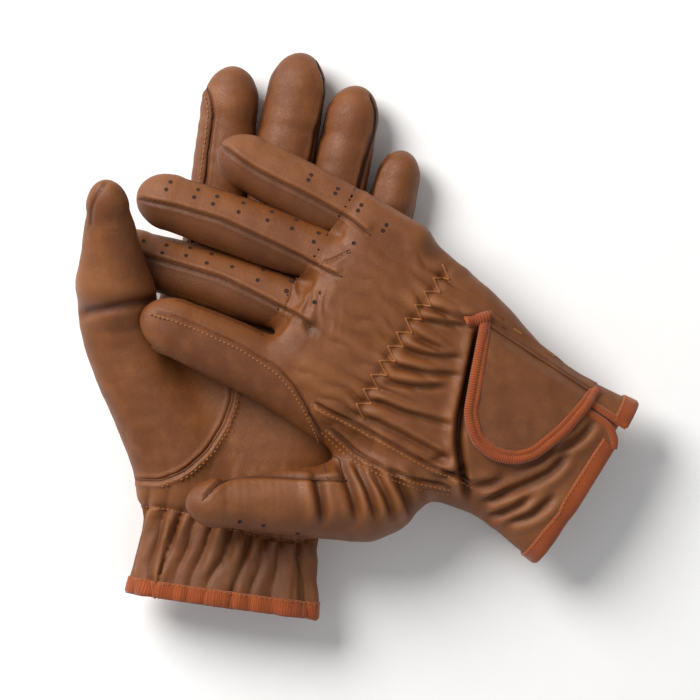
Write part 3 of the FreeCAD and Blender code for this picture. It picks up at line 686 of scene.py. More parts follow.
def left_relief(part):
    def relief(p, n):
        r = Relief(p, n)
        r.add(0.8 * swell(p, 38, 5, (1.4, 1, 1)))
        r.add(0.12 * swell(p, 14, 6, (1, 1.6, 1)))
        if part in LEFT_SEAMS:
            r.seam(Path2(LEFT_SEAMS[part]), 1.0, 0.4, 0.9, raised=0.5, side=-1)
            for u in (176.0, 206.0):
                r.add(-0.5 * bell(p[:, 0] - u, 3.0) * r.up, 0.12 * bell(p[:, 0] - u, 2.5) * r.up)
            r.add(0.12 * swell(p, 12, 8, (0.6, 2.5, 2)) * r.up)
        if part == "hand":
            r.seam(Path2(THENAR), 0.9, 0.6, 0.9, raised=0.7, side=1)
            r.gathers(Path2(LEFT_SHIRR), 7.7, 4.2, 1.4, 36.0, 10.0, 31)
            # Painted shade over the upper side of the cuff, below u 36.
            r.add(0.0, 0.35 * ramp(36.0 - p[:, 0], 0, 8) * r.up)
            above = (p[:, 0] > 33) & (n[:, 2] > 0)
            r.add(1.3 * bell(p[:, 0] - 44, 8) * r.up * above)
            r.seam(Path2(LEFT_SEAMS["index"]), 1.0, 0.4, 0.9, raised=0.5, side=-1)
            on_thumb = ramp(p[:, 2], 34, 42)
            r.add(-2.6 * bell((p[:, 0] - 120 + 0.35 * (p[:, 1] - 60)) / 2.6, 1) * on_thumb * (n[:, 2] > -0.4),
                  0.9 * bell((p[:, 0] - 120 + 0.35 * (p[:, 1] - 60)) / 2.2, 1) * on_thumb)
            r.add(1.2 * bell(p[:, 0] - 127, 6) * on_thumb)
            s, _ = Path2(THUMB_SLIT).near(p, 6)
            r.add(-0.8 * bell(s, 0.8) * on_thumb * r.up, 0.9 * bell(s, 0.9) * on_thumb * r.up)
        return r.lift, r.shade

    return relief


RELIEF = {"left": left_relief, "right": right_relief}


# ---------------------------------------------------------------- materials
def linear(red, green, blue):
    def one(c):
        c /= 255
        return c / 12.92 if c <= 0.04045 else ((c + 0.055) / 1.055) ** 2.4

    return (one(red), one(green), one(blue), 1.0)


class Nodes:
    def __init__(self, name):
        self.material = bpy.data.materials.new(name)
        self.material.use_nodes = True
        self.tree = self.material.node_tree
        self.shader = self.tree.nodes["Principled BSDF"]

    def add(self, kind, **inputs):
        node = self.tree.nodes.new(kind)
        for key, value in inputs.items():
            if key in node.bl_rna.properties:
                setattr(node, key, value)
            else:
                self.feed(node, key.replace("_", " "), value)
        return node

    def feed(self, node, socket, value):
        target = node.inputs[socket]
        if isinstance(value, bpy.types.NodeSocket):
            self.tree.links.new(value, target)
        else:
            target.default_value = value

    def math(self, operation, a, b=0.0):
        node = self.add("ShaderNodeMath", operation=operation)
        self.feed(node, 0, a)
        self.feed(node, 1, b)
        return node.outputs[0]

    def noise(self, where, scale, detail=3.0, rough=0.55):
        node = self.add("ShaderNodeTexNoise", Scale=scale, Detail=detail, Roughness=rough)
        self.feed(node, "Vector", where)
        return node.outputs["Fac"]

    def mix(self, share, a, b, kind="MIX"):
        node = self.add("ShaderNodeMix", data_type="RGBA", blend_type=kind)
        self.feed(node, 0, share)
        self.feed(node, 6, a)
        self.feed(node, 7, b)
        return node.outputs[2]

    def span(self, value, low, high, to_low=0.0, to_high=1.0):
        node = self.add("ShaderNodeMapRange")
        for key, given in (("Value", value), ("From Min", low), ("From Max", high)):
            self.feed(node, key, given)
        self.feed(node, "To Min", to_low)
        self.feed(node, "To Max", to_high)
        return node.outputs[0]

    def place(self):
        """Where a point is in its glove's own frame, in millimetres, whatever the pose."""
        node = self.add("ShaderNodeAttribute", attribute_name="local")
        return node.outputs["Vector"]

    def value(self, name):
        return self.add("ShaderNodeAttribute", attribute_name=name).outputs["Fac"]

    def bump(self, height, distance, strength=1.0, under=None):
        node = self.add("ShaderNodeBump", Strength=strength, Distance=distance)
        self.feed(node, "Height", height)
        if under is not None:
            self.feed(node, "Normal", under)
        return node.outputs[0]

    def finish(self, colour, roughness, normal, **more):
        self.feed(self.shader, "Base Color", colour)
        self.feed(self.shader, "Roughness", roughness)
        self.feed(self.shader, "Normal", normal)
        for key, value in more.items():
            self.feed(self.shader, key.replace("_", " "), value)
        return self.material


def leather_material(name, base, light, dark):
    """Leather: mottled, with painted shade in its creases and a painted highlight on its crests, with pores
    and fine lines.
    """
    m = Nodes(name)
    at = m.place()
    patches = m.noise(at, 0.028, 4.0, 0.6)
    cloud = m.noise(at, 0.11, 4.0, 0.6)
    colour = m.mix(m.span(patches, 0.36, 0.66, 0.4, 1.0), dark, base)
    colour = m.mix(m.span(cloud, 0.48, 0.74, 0.0, 0.35), colour, light)
    # Painted highlight: raised crests are mixed towards the lighter colour.
    colour = m.mix(m.span(m.value("crest"), 0.0, 1.0, 0.0, 0.6), colour, light)
    # Painted shade: creases, seam grooves, folds and gathers are mixed towards a deep dark brown.
    crease_shade = m.math("MINIMUM", m.math("MULTIPLY", m.value("shade"), 0.62), 0.85)
    colour = m.mix(crease_shade, colour, tuple(c * 0.30 for c in dark[:3]) + (1.0,))
    pores = m.add("ShaderNodeTexVoronoi", Scale=1.35, feature="DISTANCE_TO_EDGE")
    m.feed(pores, "Vector", at)
    pore = m.span(pores.outputs["Distance"], 0.0, 0.22)
    flecks = m.noise(at, 2.4, 4.0, 0.65)
    colour = m.mix(m.span(flecks, 0.3, 0.7, 0.10, 0.0), colour, dark)
    fine_lines = m.noise(at, 0.55, 6.0, 0.7)
    creases = m.add("ShaderNodeTexNoise", Scale=0.30, Detail=5.0, Roughness=0.62, Distortion=1.4)
    m.feed(creases, "Vector", at)
    lines = m.span(m.math("ABSOLUTE", m.math("SUBTRACT", creases.outputs["Fac"], 0.5)), 0.0, 0.05)
    colour = m.mix(m.span(lines, 0.0, 1.0, 0.10, 0.0), colour, dark)
    normal = m.bump(lines, 0.00012, 0.35)
    normal = m.bump(fine_lines, 0.0003, 0.35, normal)
    normal = m.bump(pore, 0.00012, 0.35, normal)
    normal = m.bump(flecks, 0.00018, 0.5, normal)
    rough = m.span(cloud, 0.3, 0.7, 0.54, 0.42)
    return m.finish(colour, rough, normal, Specular_IOR_Level=0.40)


def ribbed_material(name, base, dark):
    """Ribbed tape: the ribs are in its shape, the yarn and the painted shade between them are here."""
    m = Nodes(name)
    at = m.place()
    rib = m.value("tone")
    # Painted shade: the tape is darker between its ribs.
    colour = m.mix(m.span(rib, 0.0, 1.0, 0.75, 0.0), base, dark)
    colour = m.mix(m.span(m.noise(at, 0.12), 0.4, 0.7, 0.0, 0.35), colour, dark)
    yarn = m.noise(at, 3.2, 3.0, 0.7)
    colour = m.mix(m.span(yarn, 0.3, 0.7, 0.25, 0.0), colour, dark)
    normal = m.bump(yarn, 0.0002, 0.6)
    return m.finish(colour, 0.72, normal, Specular_IOR_Level=0.25, Sheen_Weight=0.3)


def yarn_material(name, base, dark):
    m = Nodes(name)
    at = m.place()
    strands = m.noise(at, 4.0, 2.0, 0.6)
    colour = m.mix(m.span(strands, 0.3, 0.7), dark, base)
    return m.finish(colour, 0.65, m.bump(strands, 0.0002, 0.5), Specular_IOR_Level=0.3)


def dark_material(name, base, other):
    m = Nodes(name)
    speck = m.noise(m.place(), 2.0, 3.0)
    return m.finish(m.mix(speck, base, other), 0.9, m.bump(speck, 0.0002, 0.4))


def pile_material(name, base, other):
    """Hook or loop tape: a close pile of tiny tufts."""
    m = Nodes(name)
    tufts = m.add("ShaderNodeTexVoronoi", Scale=1.6)
    m.feed(tufts, "Vector", m.place())
    height = m.span(tufts.outputs["Distance"], 0.0, 0.6, 1.0, 0.0)
    return m.finish(m.mix(height, base, other), 0.85, m.bump(height, 0.0006, 0.8), Sheen_Weight=0.4)


TAN = linear(124, 72, 33)
TAN_LIGHT = linear(152, 94, 50)
TAN_DARK = linear(98, 52, 20)
LINING, LINING_LIGHT, LINING_DARK = linear(176, 118, 78), linear(190, 134, 96), linear(150, 92, 58)
MATERIALS = {
    "tan": leather_material("tan_leather", TAN, TAN_LIGHT, TAN_DARK),
    # The fingers' side strips: their own panel, painted darker as shade on the sides of the fingers.
    "side": leather_material("fourchette_leather", linear(104, 58, 26), TAN, linear(78, 39, 15)),
    "trim": leather_material("trim_leather", linear(118, 68, 32), TAN_LIGHT, linear(94, 50, 22)),
    "lining": leather_material("lining_leather", LINING, LINING_LIGHT, LINING_DARK),
    "tape": ribbed_material("orange_binding", linear(176, 84, 30), linear(104, 42, 12)),
    "thread": yarn_material("stitching_thread", linear(178, 116, 62), linear(110, 64, 30)),
    # A dark bead laid in seam grooves: painted shadow of the groove.
    "seam": dark_material("seam_thread", linear(66, 32, 12), linear(96, 52, 24)),
    # Near black: painted shadow of the inside seen through the punched holes.
    "hole": dark_material("hole_shadow", linear(36, 17, 9), linear(58, 30, 16)),
    "elastic": ribbed_material("elastic_tape", linear(196, 176, 150), linear(120, 100, 80)),
    "loop": pile_material("loop_tape", linear(60, 36, 22), linear(104, 66, 42)),
    "hook": pile_material("hook_tape", linear(52, 30, 20), linear(90, 58, 38)),
}


# ---------------------------------------------------------------- trims
class Surface:
    """The worked skins of one glove, to lay trims on."""

    def __init__(self, skins):
        points, faces, count = [], [], 0
        for skin in skins:
            points.append(skin.points)
            faces.append(skin.faces + count)
            count += len(skin.points)
        points = np.concatenate(points)
        self.tree = BVHTree.FromPolygons(points.tolist(), np.concatenate(faces).tolist())

    def hit(self, u, v, side=1):
        found = self.tree.ray_cast(Vector((u, v, 150.0 * side)), Vector((0, 0, -side)))
        if found[0] is None:
            return None
        return np.array(found[0]), np.array(found[1])

    def nearest(self, p):
        found = self.tree.find_nearest(Vector(p))
        return np.array(found[0]), np.array(found[1])

    def laid(self, line, step=0.8, side=1, lift=0.0):
        """A line of (u, v) laid on the skin: its points and the skin's normals there."""
        path = Path2(line, step)
        hits = [self.hit(u, v, side) for u, v in path.uv]
        hits = [h for h in hits if h is not None]
        points, normals = (np.array([h[k] for h in hits]) for k in (0, 1))
        for _ in range(3):
            normals[1:-1] = normals[:-2] + normals[1:-1] + normals[2:]
            normals /= np.linalg.norm(normals, axis=1, keepdims=True)
            points[1:-1] = (points[:-2] + 2 * points[1:-1] + points[2:]) / 4
        return points + normals * lift, normals


def tangents(points):
    d = np.gradient(points, axis=0)
    return d / (np.linalg.norm(d, axis=1, keepdims=True) + 1e-9)


def band(n, k):
    """The quads between n closed rings of k points."""
    return [[i * k + j, i * k + (j + 1) % k, (i + 1) * k + (j + 1) % k, (i + 1) * k + j]
            for i in range(n - 1) for j in range(k)]


def tube(n, k):
    """The faces of n closed rings of k points, with both ends capped."""
    return band(n, k) + [list(range(k))[::-1], [(n - 1) * k + q for q in range(k)]]


def sweep(points, normals, profile, swell_by=None):
    """A strip with a profile of (across, out) pairs along a line; swell_by scales it at each point."""
    t = tangents(points)
    across = np.cross(normals, t)
    across /= np.linalg.norm(across, axis=1, keepdims=True) + 1e-9
    out = np.cross(t, across)
    profile = np.array(profile, float)
    scale = np.ones(len(points)) if swell_by is None else np.asarray(swell_by)
    rings = (points[:, None] + scale[:, None, None] * (across[:, None] * profile[None, :, 0:1]
             + out[:, None] * profile[None, :, 1:2]))
    return rings.reshape(-1, 3), tube(len(points), len(profile))


def oval(half_width, half_height, sink=0.0, count=10):
    angles = np.arange(count) * 2 * math.pi / count
    return [(half_width * math.cos(a), half_height * math.sin(a) - sink) for a in angles]


def joined(parts):
    points, faces, count = [], [], 0
    for p, f in parts:
        points.append(p)
        faces += [[q + count for q in face] for face in f]
        count += len(p)
    return np.concatenate(points), faces


def resample(points, normals, step):
    knots = np.concatenate([[0], np.cumsum(np.linalg.norm(np.diff(points, axis=0), axis=1))])
    s = np.linspace(0, knots[-1], max(3, int(round(knots[-1] / step)) + 1))
    p = np.stack([np.interp(s, knots, points[:, k]) for k in range(3)], 1)
    n = np.stack([np.interp(s, knots, normals[:, k]) for k in range(3)], 1)
    return p, n / np.linalg.norm(n, axis=1, keepdims=True)


def stitches(points, normals, pitch, length, width=0.33, height=0.30, shift=0.0):
    """A row of separate thread stitches along a line, shift to one side of it."""
    p, n = resample(points, normals, pitch)
    t = tangents(p)
    side = np.cross(n, t)
    made = []
    for k in range(len(p)):
        rings = []
        for s, r in ((-0.5, 0.3), (-0.38, 0.85), (0.0, 1.0), (0.38, 0.85), (0.5, 0.3)):
            for a in range(6):
                c, w = math.cos(a * math.pi / 3), math.sin(a * math.pi / 3)
                out = w * height * r + 0.05
                rings.append(p[k] + t[k] * s * length + side[k] * (shift + c * width * r) + n[k] * out)
        made.append((np.array(rings), tube(5, 6)))
    return joined(made)


def ribbed(points, normals, profile, pitch=1.0, depth=0.07):
    """A ribbed tape: the profile swells and shrinks along the line, with how high each rib stands."""
    p, n = resample(points, normals, pitch / 4)
    wave = 0.5 + 0.5 * np.cos(np.arange(len(p)) * math.pi / 2)
    made, faces = sweep(p, n, profile, 1 + depth * (wave - 0.5) * 2)
    return made, faces, np.repeat(wave, len(profile))


def together(toned):
    """Ribbed pieces joined into one, with how high their ribs stand."""
    return joined([piece[:2] for piece in toned]) + (np.concatenate([piece[2] for piece in toned]),)


def punched(surface, u, v, radius):
    """The turned-in rim and floor of a punched hole, all dark with painted shadow of the hole's inside."""
    found = surface.hit(u, v)
    if found is None:
        return None
    p, n = found
    a = unit(np.cross(n, (1.0, 0.0, 0.0)))
    b = np.cross(n, a)
    points, count = [], 12
    for r, h in ((1.45, -0.2), (1.2, 0.08), (1.0, 0.1), (0.9, 0.03)):
        for k in range(count):
            angle = k * 2 * math.pi / count
            points.append(p + (a * math.cos(angle) + b * math.sin(angle)) * r * radius + n * h)
    return np.array(points), tube(4, count)


def disc(rings, count):
    """Faces of a centre point with rings of count points round it."""
    faces = [[0, 1 + j, 1 + (j + 1) % count] for j in range(count)]
    return faces + [[1 + q for q in (a, d, c, b)] for a, b, c, d in band(rings, count)]


def slab(uv, top, bottom, back, rings, count):
    """A sheet over a disc of points, between two heights towards a glove's back (1 or -1 along w)."""
    upper = np.column_stack([uv, top * back])
    lower = np.column_stack([uv, bottom * back])
    grid, n = disc(rings, count), len(uv)
    edge = [(n - count + j, n - count + (j + 1) % count) for j in range(count)]
    faces = grid + [[q + n for q in face[::-1]] for face in grid] + [[a, n + a, n + b, b] for a, b in edge]
    return np.concatenate([upper, lower]), [face[::back] for face in faces]


# ---------------------------------------------------------------- what each piece rides on
class Glove:
    """One glove: its skins, the trims laid on them and the bodies that some of them follow."""

    VENT_SIDE, VENT_HALF, VENT_LENGTH = -27.0, 0.9, 69.0
    CORNER = 8.0  # how far the hem rounds off beside the vent
    ELASTIC_DEPTH = 2.8  # below the leather's inner face, where the gathers don't reach

    # Where the hand gives way to the thumb along a lean.
    THUMB_BLEND = {"left": ((0, 0.45, 0.89), 41.0, 66.0), "right": ((0, 1, 0), 51.0, 73.0)}
    CURL_BLEND, LIFT_BLEND = (-12.0, 12.0), (3.0, 22.0)  # a finger's bend, measured from its joint
    LIFTED = ("ring", "pinky")  # the right fingers that have a joint

    def __init__(self, side):
        self.side = side
        self.place = Frame(side)
        self.back = 1 if side == "right" else -1  # which way the back of the hand faces
        self.hand, self.digits = build_forms(side, self.place)
        self.skins, self.pieces = {}, {}

    def name(self, what):
        return f"{self.side}_{what}"

    def attach(self, piece, part):
        """Puts a piece on the glove's body; a piece of the hand, the thumb or a jointed finger is only fixed
        where it lies.
        """
        body = self.name("glove")
        if part in ("hand", "thumb"):
            lean, start, end = self.THUMB_BLEND[self.side]
            lean = unit(lean)
            self.spot(lean * start)
            self.spot(lean * end)
            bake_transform(piece)
        elif self.side == "left" and part in FINGERS:
            self.across_joint(piece, part, f"left_{part}_curl", self.CURL_BLEND)
        elif self.side == "right" and part in self.LIFTED:
            self.across_joint(piece, part, f"right_{part}_lift", self.LIFT_BLEND)
        else:
            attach(piece, body)

    def across_joint(self, piece, part, joint, reach):
        """Works out a stretch of a digit round a joint, but only fixes the piece where it lies, unbent."""
        at = np.array(JOINTS[joint]["pos_m"])
        along = self.place.axes @ self.digits[part].axis * MM
        start, end = (Vector(at + along * distance) for distance in reach)
        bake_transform(piece)

    def spot(self, local):
        return Vector(self.place.row(np.array(local)))

    def add(self, what, made, material, part, replaces=(), slot=None, normals=None):
        """A piece of (points, faces) or (points, faces, rib heights) on a body or on a part of the skin."""
        points, faces, tone = (*made, None)[:3]
        piece = add_mesh(self.name(what), self.place, points, faces, MATERIALS[material], normals, tone=tone)
        if part in ("hand", "thumb", *FINGERS):
            self.attach(piece, part)
        else:
            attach(piece, self.name(part))
        if replaces:
            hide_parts(*[self.name(r) for r in replaces])

    def thread(self, what, made, part, replaces=()):
        self.add(what, made, "thread", part, replaces, "stitching_thread")

    # ------------------------------------------------------------ skins
    def make_skins(self):
        self.make_hand()
        for finger in FINGERS:
            self.make_finger(finger)
        self.surface = Surface(self.skins.values())

    def leather(self, part, skin, keep, nodes, side=None):
        """The piece of leather that some faces of a skin make."""
        name = self.name(part + "_leather")
        piece = add_skin(name, self.place, skin, keep, MATERIALS["tan"], side, MATERIALS["side"])
        self.attach(piece, part)
        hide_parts(*nodes)

    def make_hand(self):
        """The skin of the hand and thumb, split where the thumb starts."""
        thumb_low, thumb_high = self.digits["thumb"].box(4.0)
        y, z, a, b = self.hand.row_at(100.0)
        far = CUT_AT + CUT_OVERLAP
        low = np.array([-1.0, y - a - 6, min(z - b - 6, thumb_low[2])])
        high = np.array([max(far, thumb_high[0]), thumb_high[1], max(z + b + 10, thumb_high[2])])
        points, faces = skin_mesh(low, high, hand_field(self.hand, self.digits))
        centre = points[faces].mean(1)
        thumb_gap = self.digits["thumb"].distance(centre)
        skin = trimmed(points, faces, (centre[:, 0] > 0.2) & ((centre[:, 0] < far) | (thumb_gap < 3.0)))
        skin.work(RELIEF[self.side]("hand"))
        self.skins["hand"] = skin
        centre = skin.centres()
        thumb_gap = self.digits["thumb"].distance(centre)
        hand_gap = self.hand.distance(centre)
        on_thumb = (thumb_gap < 4.0) & (hand_gap > 1.5) & (thumb_gap < hand_gap)
        on_hand = ~on_thumb & (centre[:, 0] < CUT_AT) & ~self.slot_faces(skin)
        self.leather("hand", skin, on_hand, [self.name(n) for n in ("hand_back", "hand_palm", "thumb_base")])
        self.leather("thumb", skin, on_thumb, [self.name(n) for n in ("thumb_back", "thumb_palm")])

    def make_finger(self, finger):
        digit = self.digits[finger]
        low, high = digit.box(3.0)
        low[0] = CUT_AT - CUT_OVERLAP
        points, faces = skin_mesh(low, high, finger_field(self.hand, digit))
        skin = trimmed(points, faces, points[faces].mean(1)[:, 0] > low[0] + 1)
        skin.work(RELIEF[self.side](finger))
        self.skins[finger] = skin
        nodes = [n for n in NODES if n.startswith(self.name(finger)) and "patch" not in n]
        keep = skin.rest_centres()[:, 0] >= CUT_AT
        self.leather(finger, skin, keep, nodes, self.fourchette_faces(skin, finger))

    def fourchette_faces(self, skin, finger):
        """The faces of a finger's side strips, between its back and its palm."""
        digit = self.digits[finger]
        centre, normal = skin.centres(), skin.face_normals()
        facing_up, thumb_side = normal @ digit.up, normal @ digit.side > 0
        side = np.abs(facing_up) < 0.55
        if finger == "index":
            side &= ~thumb_side
        elif finger == "pinky":
            side &= thumb_side
        side &= centre[:, 0] < digit.line[-1, 0] - 4
        if self.side == "right" and finger in RIGHT_SEAMS:
            s, _ = Path2(RIGHT_SEAMS[finger]).near(centre, 14.0)
            side = (side & (facing_up < 0.3)) | ((s < 0) & (s > -12) & (facing_up > -0.4))
        return side

    def patch(self, line, parts, low, high):
        """The wear patch sewn over the thumb side of the index finger, between two places along the glove."""
        path, made, shading = Path2(line, 1.0), [], []
        edge, width, thickness, thinning = -0.4, 16, 0.75, 6
        for part in parts:
            skin = self.skins[part]
            s, along = path.near(skin.points, 26.0)
            inside = (s < edge) & (s > -width) & (skin.points[:, 1] < 52) & (along > 4.0)
            u, rest = skin.centres()[:, 0], skin.rest_centres()[:, 0]
            keep = inside[skin.faces].any(1) & (u > low) & (u < high) & (skin.face_normals()[:, 2] > -0.5)
            keep &= (rest >= CUT_AT) if part != "hand" else (rest < CUT_AT)
            used, faces = skin.part(keep)
            points = skin.points[used].copy()
            over = (s[used] > edge) & (s[used] < 5)
            points[over] = path.snapped(points[over], edge)
            normals = skin.normals[used]
            u = points[:, 0:1]
            thick = thickness * ramp(high - u, 0, thinning) * ramp(u - low, 0, thinning) + 0.05
            made.append(closed_shell(points, normals, faces, thick, 0.15))
            shading.append(np.concatenate([normals, -normals]))
        both = joined([(p, f.tolist()) for p, f in made])
        normals = np.concatenate(shading)
        self.add("index_patch_leather", both, "trim", "index", ("index_patch",), "trim_leather", normals)

    def slot_faces(self, skin):
        """The faces cut away for the vent and for the rounded corner beside it."""
        centre = skin.centres()
        facing = skin.normals[skin.faces].mean(1)[:, 2] * self.back > 0
        slot = (np.abs(centre[:, 1] - self.VENT_SIDE) < self.VENT_HALF) & (centre[:, 0] < self.VENT_LENGTH)
        u, v = self.CORNER - centre[:, 0], self.VENT_SIDE + self.CORNER - centre[:, 1]
        corner = (u > 0) & (v > 0) & (centre[:, 1] > self.VENT_SIDE) & (np.hypot(u, v) > self.CORNER)
        return facing & (slot | corner)

    # ------------------------------------------------------------ bindings
    # Round the tape's section: how far from the hem to its upper edge, and how far out from the leather.
    HEM_PROFILE = ((1.02, 0.15), (1.0, 0.75), (0.7, 0.95), (0.2, 1.0), (-0.25, 0.9), (-0.5, 0.1),
                   (-0.52, -1.0), (-0.3, -1.9), (0.1, -2.15), (0.9, -2.1), (0.95, -1.5), (0.0, -1.4),
                   (0.0, -0.05), (0.9, -0.02))

    def hem_loop(self, u):
        """Points and normals round the skin at u, starting and ending at the vent."""
        y, z, a, b = self.hand.row_at(max(u, 1.0))
        angles = np.linspace(0, 2 * math.pi, 721)
        c, s = np.cos(angles), np.sin(angles)
        e = 2 / Hand.POWER
        ring = np.stack([y + a * np.sign(c) * np.abs(c) ** e, z + b * np.sign(s) * np.abs(s) ** e], 1)
        wrong_side = (ring[:, 1] - z) * self.back < 0
        start = int(np.argmin(np.abs(ring[:, 0] - self.VENT_SIDE) + 100 * wrong_side))
        ring = np.roll(ring[:-1], -start, 0)
        steps = np.linalg.norm(np.diff(ring, axis=0, append=ring[:1]), axis=1)
        length = np.concatenate([[0], np.cumsum(steps)])
        closed = np.concatenate([ring, ring[:1]])
        start_gap, end_gap = (1.5, self.CORNER) if self.back > 0 else (self.CORNER, 1.5)
        s = np.arange(start_gap, length[-1] - end_gap, 0.9)
        loop = np.stack([np.interp(s, length, closed[:, k]) for k in (0, 1)], 1)
        hits = [self.surface.nearest((u, v, w)) for v, w in loop]
        return tuple(np.array([h[k] for h in hits]) for k in (0, 1))

    def hem_binding(self):
        """Tape folded over the hem from face to face, and the stitches along its upper edge."""
        near, near_n = self.hem_loop(1.0)
        far, far_n = self.hem_loop(5.8)
        count = min(len(near), len(far))
        share = np.linspace(0, 1, count * 4)
        grid = np.linspace(0, 1, len(near)), np.linspace(0, 1, len(far))

        def at(values, knots):
            return np.stack([np.interp(share, knots, values[:, k]) for k in range(3)], 1)

        near, near_n, far, far_n = (at(v, grid[k]) for v, k in ((near, 0), (near_n, 0), (far, 1), (far_n, 1)))
        wave = 0.5 + 0.5 * np.cos(np.arange(len(share)) * math.pi / 2)
        rings = []
        for across, out in self.HEM_PROFILE:
            base = near + (far - near) * across
            normal = near_n + (far_n - near_n) * np.clip(across, 0, 1)
            normal /= np.linalg.norm(normal, axis=1, keepdims=True)
            lift = out + (0.10 * (wave - 0.5) if out > 0.5 or across < -0.2 else 0)
            rings.append(base + normal * np.reshape(lift, (-1, 1)))
        rings = np.stack(rings, 1)
        n, k = rings.shape[:2]
        tape = rings.reshape(-1, 3), tube(n, k), np.repeat(wave, k)
        self.add("hem_tape", tape, "tape", "glove", ("hem_binding",), "orange_binding")
        row = near + (far - near) * 0.84
        self.thread("hem_stitches", stitches(row[::4] + far_n[::4] * 0.85, far_n[::4], 2.3, 1.5), "glove")

    def vent_binding(self):
        """Tape round the vent, from the hem on one side to the rounded corner on the other."""
        side, end, off = self.VENT_SIDE, self.VENT_LENGTH + 1.5, 1.9
        line = [(0.8, side - off), (end - 4, side - off), (end - 1, side - 1.2), (end, side),
                (end - 1, side + 1.2), (end - 4, side + off)]
        radius = self.CORNER - off
        for turn in np.linspace(0, math.pi / 2, 9):
            u, v = radius * (1 - math.sin(turn)), radius * (1 - math.cos(turn))
            line.append((off + u, side + off + v))
        p, n = self.surface.laid(line, 0.8, self.back, 0.1)
        # The rounded corner runs out to the hem tape's own edge.
        p[:, 0] -= 2.0 * ramp(p[:, 1] - side - off, 0, radius)
        ends = p[0] + unit(p[0] - p[2]) * 1.4, p[-1] + unit(p[-1] - p[-3]) * 1.4
        p, n = np.vstack([ends[0], p, ends[1]]), np.vstack([n[0], n, n[-1]])
        tape = ribbed(p, n, oval(1.75, 0.95), 1.0, 0.06)
        self.add("vent_tape", tape, "tape", "glove", ("vent_binding",), "orange_binding")

    def elastics(self, lines):
        """Ribbed elastic under the gathers, on the inner face of the leather."""
        made = []
        for line, face in lines:
            p, n = self.surface.laid(line, 1.0, face, -LEATHER - self.ELASTIC_DEPTH)
            made.append(ribbed(p, n, oval(2.6, 0.4, 0, 12), 1.6, 0.05))
        self.add("elastic_ribbons", together(made), "elastic", "glove", ("wrist_elastics",), "elastic_tape")

    def lump(self, what, line, half_width, half_height, pitch, lift, material, slot):
        """A short ribbed lump on the leather."""
        p, n = self.surface.laid(line, 0.5, 1, lift)
        made = ribbed(p, n, oval(half_width, half_height), pitch, 0.08)
        self.add(what, made, material, "glove", (), slot)

    # ------------------------------------------------------------ the tab
    TAB_POINTS, TAB_RINGS = 132, 33  # round its outline, and from its middle to there
    TAB_CLEARS = 92  # the percentage of the leather under it that it lies above
    PAD_POINTS, PAD_RINGS, PAD_SQUARE = 40, 8, 0.35

    def tab(self):
        """The wrist tab: two layers, the hook and loop pads, its root and the tape round its edge."""
        leather = NODES[self.name("tab_leather")].data
        root = np.round(self.place.local(np.array([v.co for v in leather.vertices]))[:, 1], 2).min()
        path = closed_resample(np.array(TAB_OUTLINE), self.TAB_POINTS)[::-1]
        for _ in range(6):
            soft_path = (np.roll(path, 1, 0) + 2 * path + np.roll(path, -1, 0)) / 4
            path = np.where(path[:, 1:] > root + 3, soft_path, path)
        path[:, 1] = np.maximum(path[:, 1], root)
        centre = path.mean(0)
        bed, rise = self.tab_bed(path, root)

        def height(u, v):
            r = np.hypot((u - centre[0]) / 30, (v - centre[1]) / 24)
            lift = (1.3 + 1.1 * np.clip(1 - r**2, 0, 1) + rise) * ramp(v - root, 0.0, 6.0) + 0.3
            return bed(u, v) + lift

        rings = np.linspace(0, 1, self.TAB_RINGS + 1)[1:]
        uv = np.concatenate([centre[None]] + [centre + (path - centre) * r for r in rings])
        flat = np.column_stack([uv, np.zeros(len(uv))])
        w = height(uv[:, 0], uv[:, 1])
        soft = 0.22 * swell(flat, 15, 41) + 0.10 * swell(flat, 6, 42)
        crown = 0.5 * (1 - np.concatenate([[0.0], np.repeat(rings, self.TAB_POINTS)]) ** 6)
        for what, top, bottom, material, node in (
            ("tab_face", 0.55 + soft + crown, -0.35, "trim", "tab_leather"),
            ("tab_back", -0.40, -0.95, "lining", "tab_lining"),
        ):
            sheet = slab(uv, w + top, w + bottom, self.back, self.TAB_RINGS, self.TAB_POINTS)
            self.add(what, sheet, material, "tab", (node,), material + "_leather")
        self.pad("tab_hook", lambda u, v: height(u, v) - 1.0, -0.75, "hook", "tab")
        self.pad("cuff_loop", lambda u, v: bed(u, v) + rise + 0.35, -0.95, "loop", "glove")
        self.tab_root(path, root, height)
        self.tab_edge(path, centre, root, height)

    def tab_bed(self, path, root):
        """A smooth surface through the leather under the tab, and how far the leather stands above it."""
        samples = []
        for u in np.arange(path[:, 0].min() + 1, path[:, 0].max(), 3.0):
            for v in np.arange(root + 1.0, path[:, 1].max(), 3.0):
                found = self.surface.hit(u, v, self.back)
                if found is not None:
                    samples.append((u, v, found[0][2] * self.back))
        u, v, w = np.array(samples).T

        def terms(u, v):
            u, v = (u - 46) / 32, (v + 12) / 24
            return np.stack([np.ones_like(u), u, v, u * v, u**2, v**2, v**3, u * v**2], -1)

        fit = np.linalg.lstsq(terms(u, v), w, rcond=None)[0]
        rise = np.percentile(w - terms(u, v) @ fit, self.TAB_CLEARS)
        return lambda u, v: terms(u, v) @ fit, rise

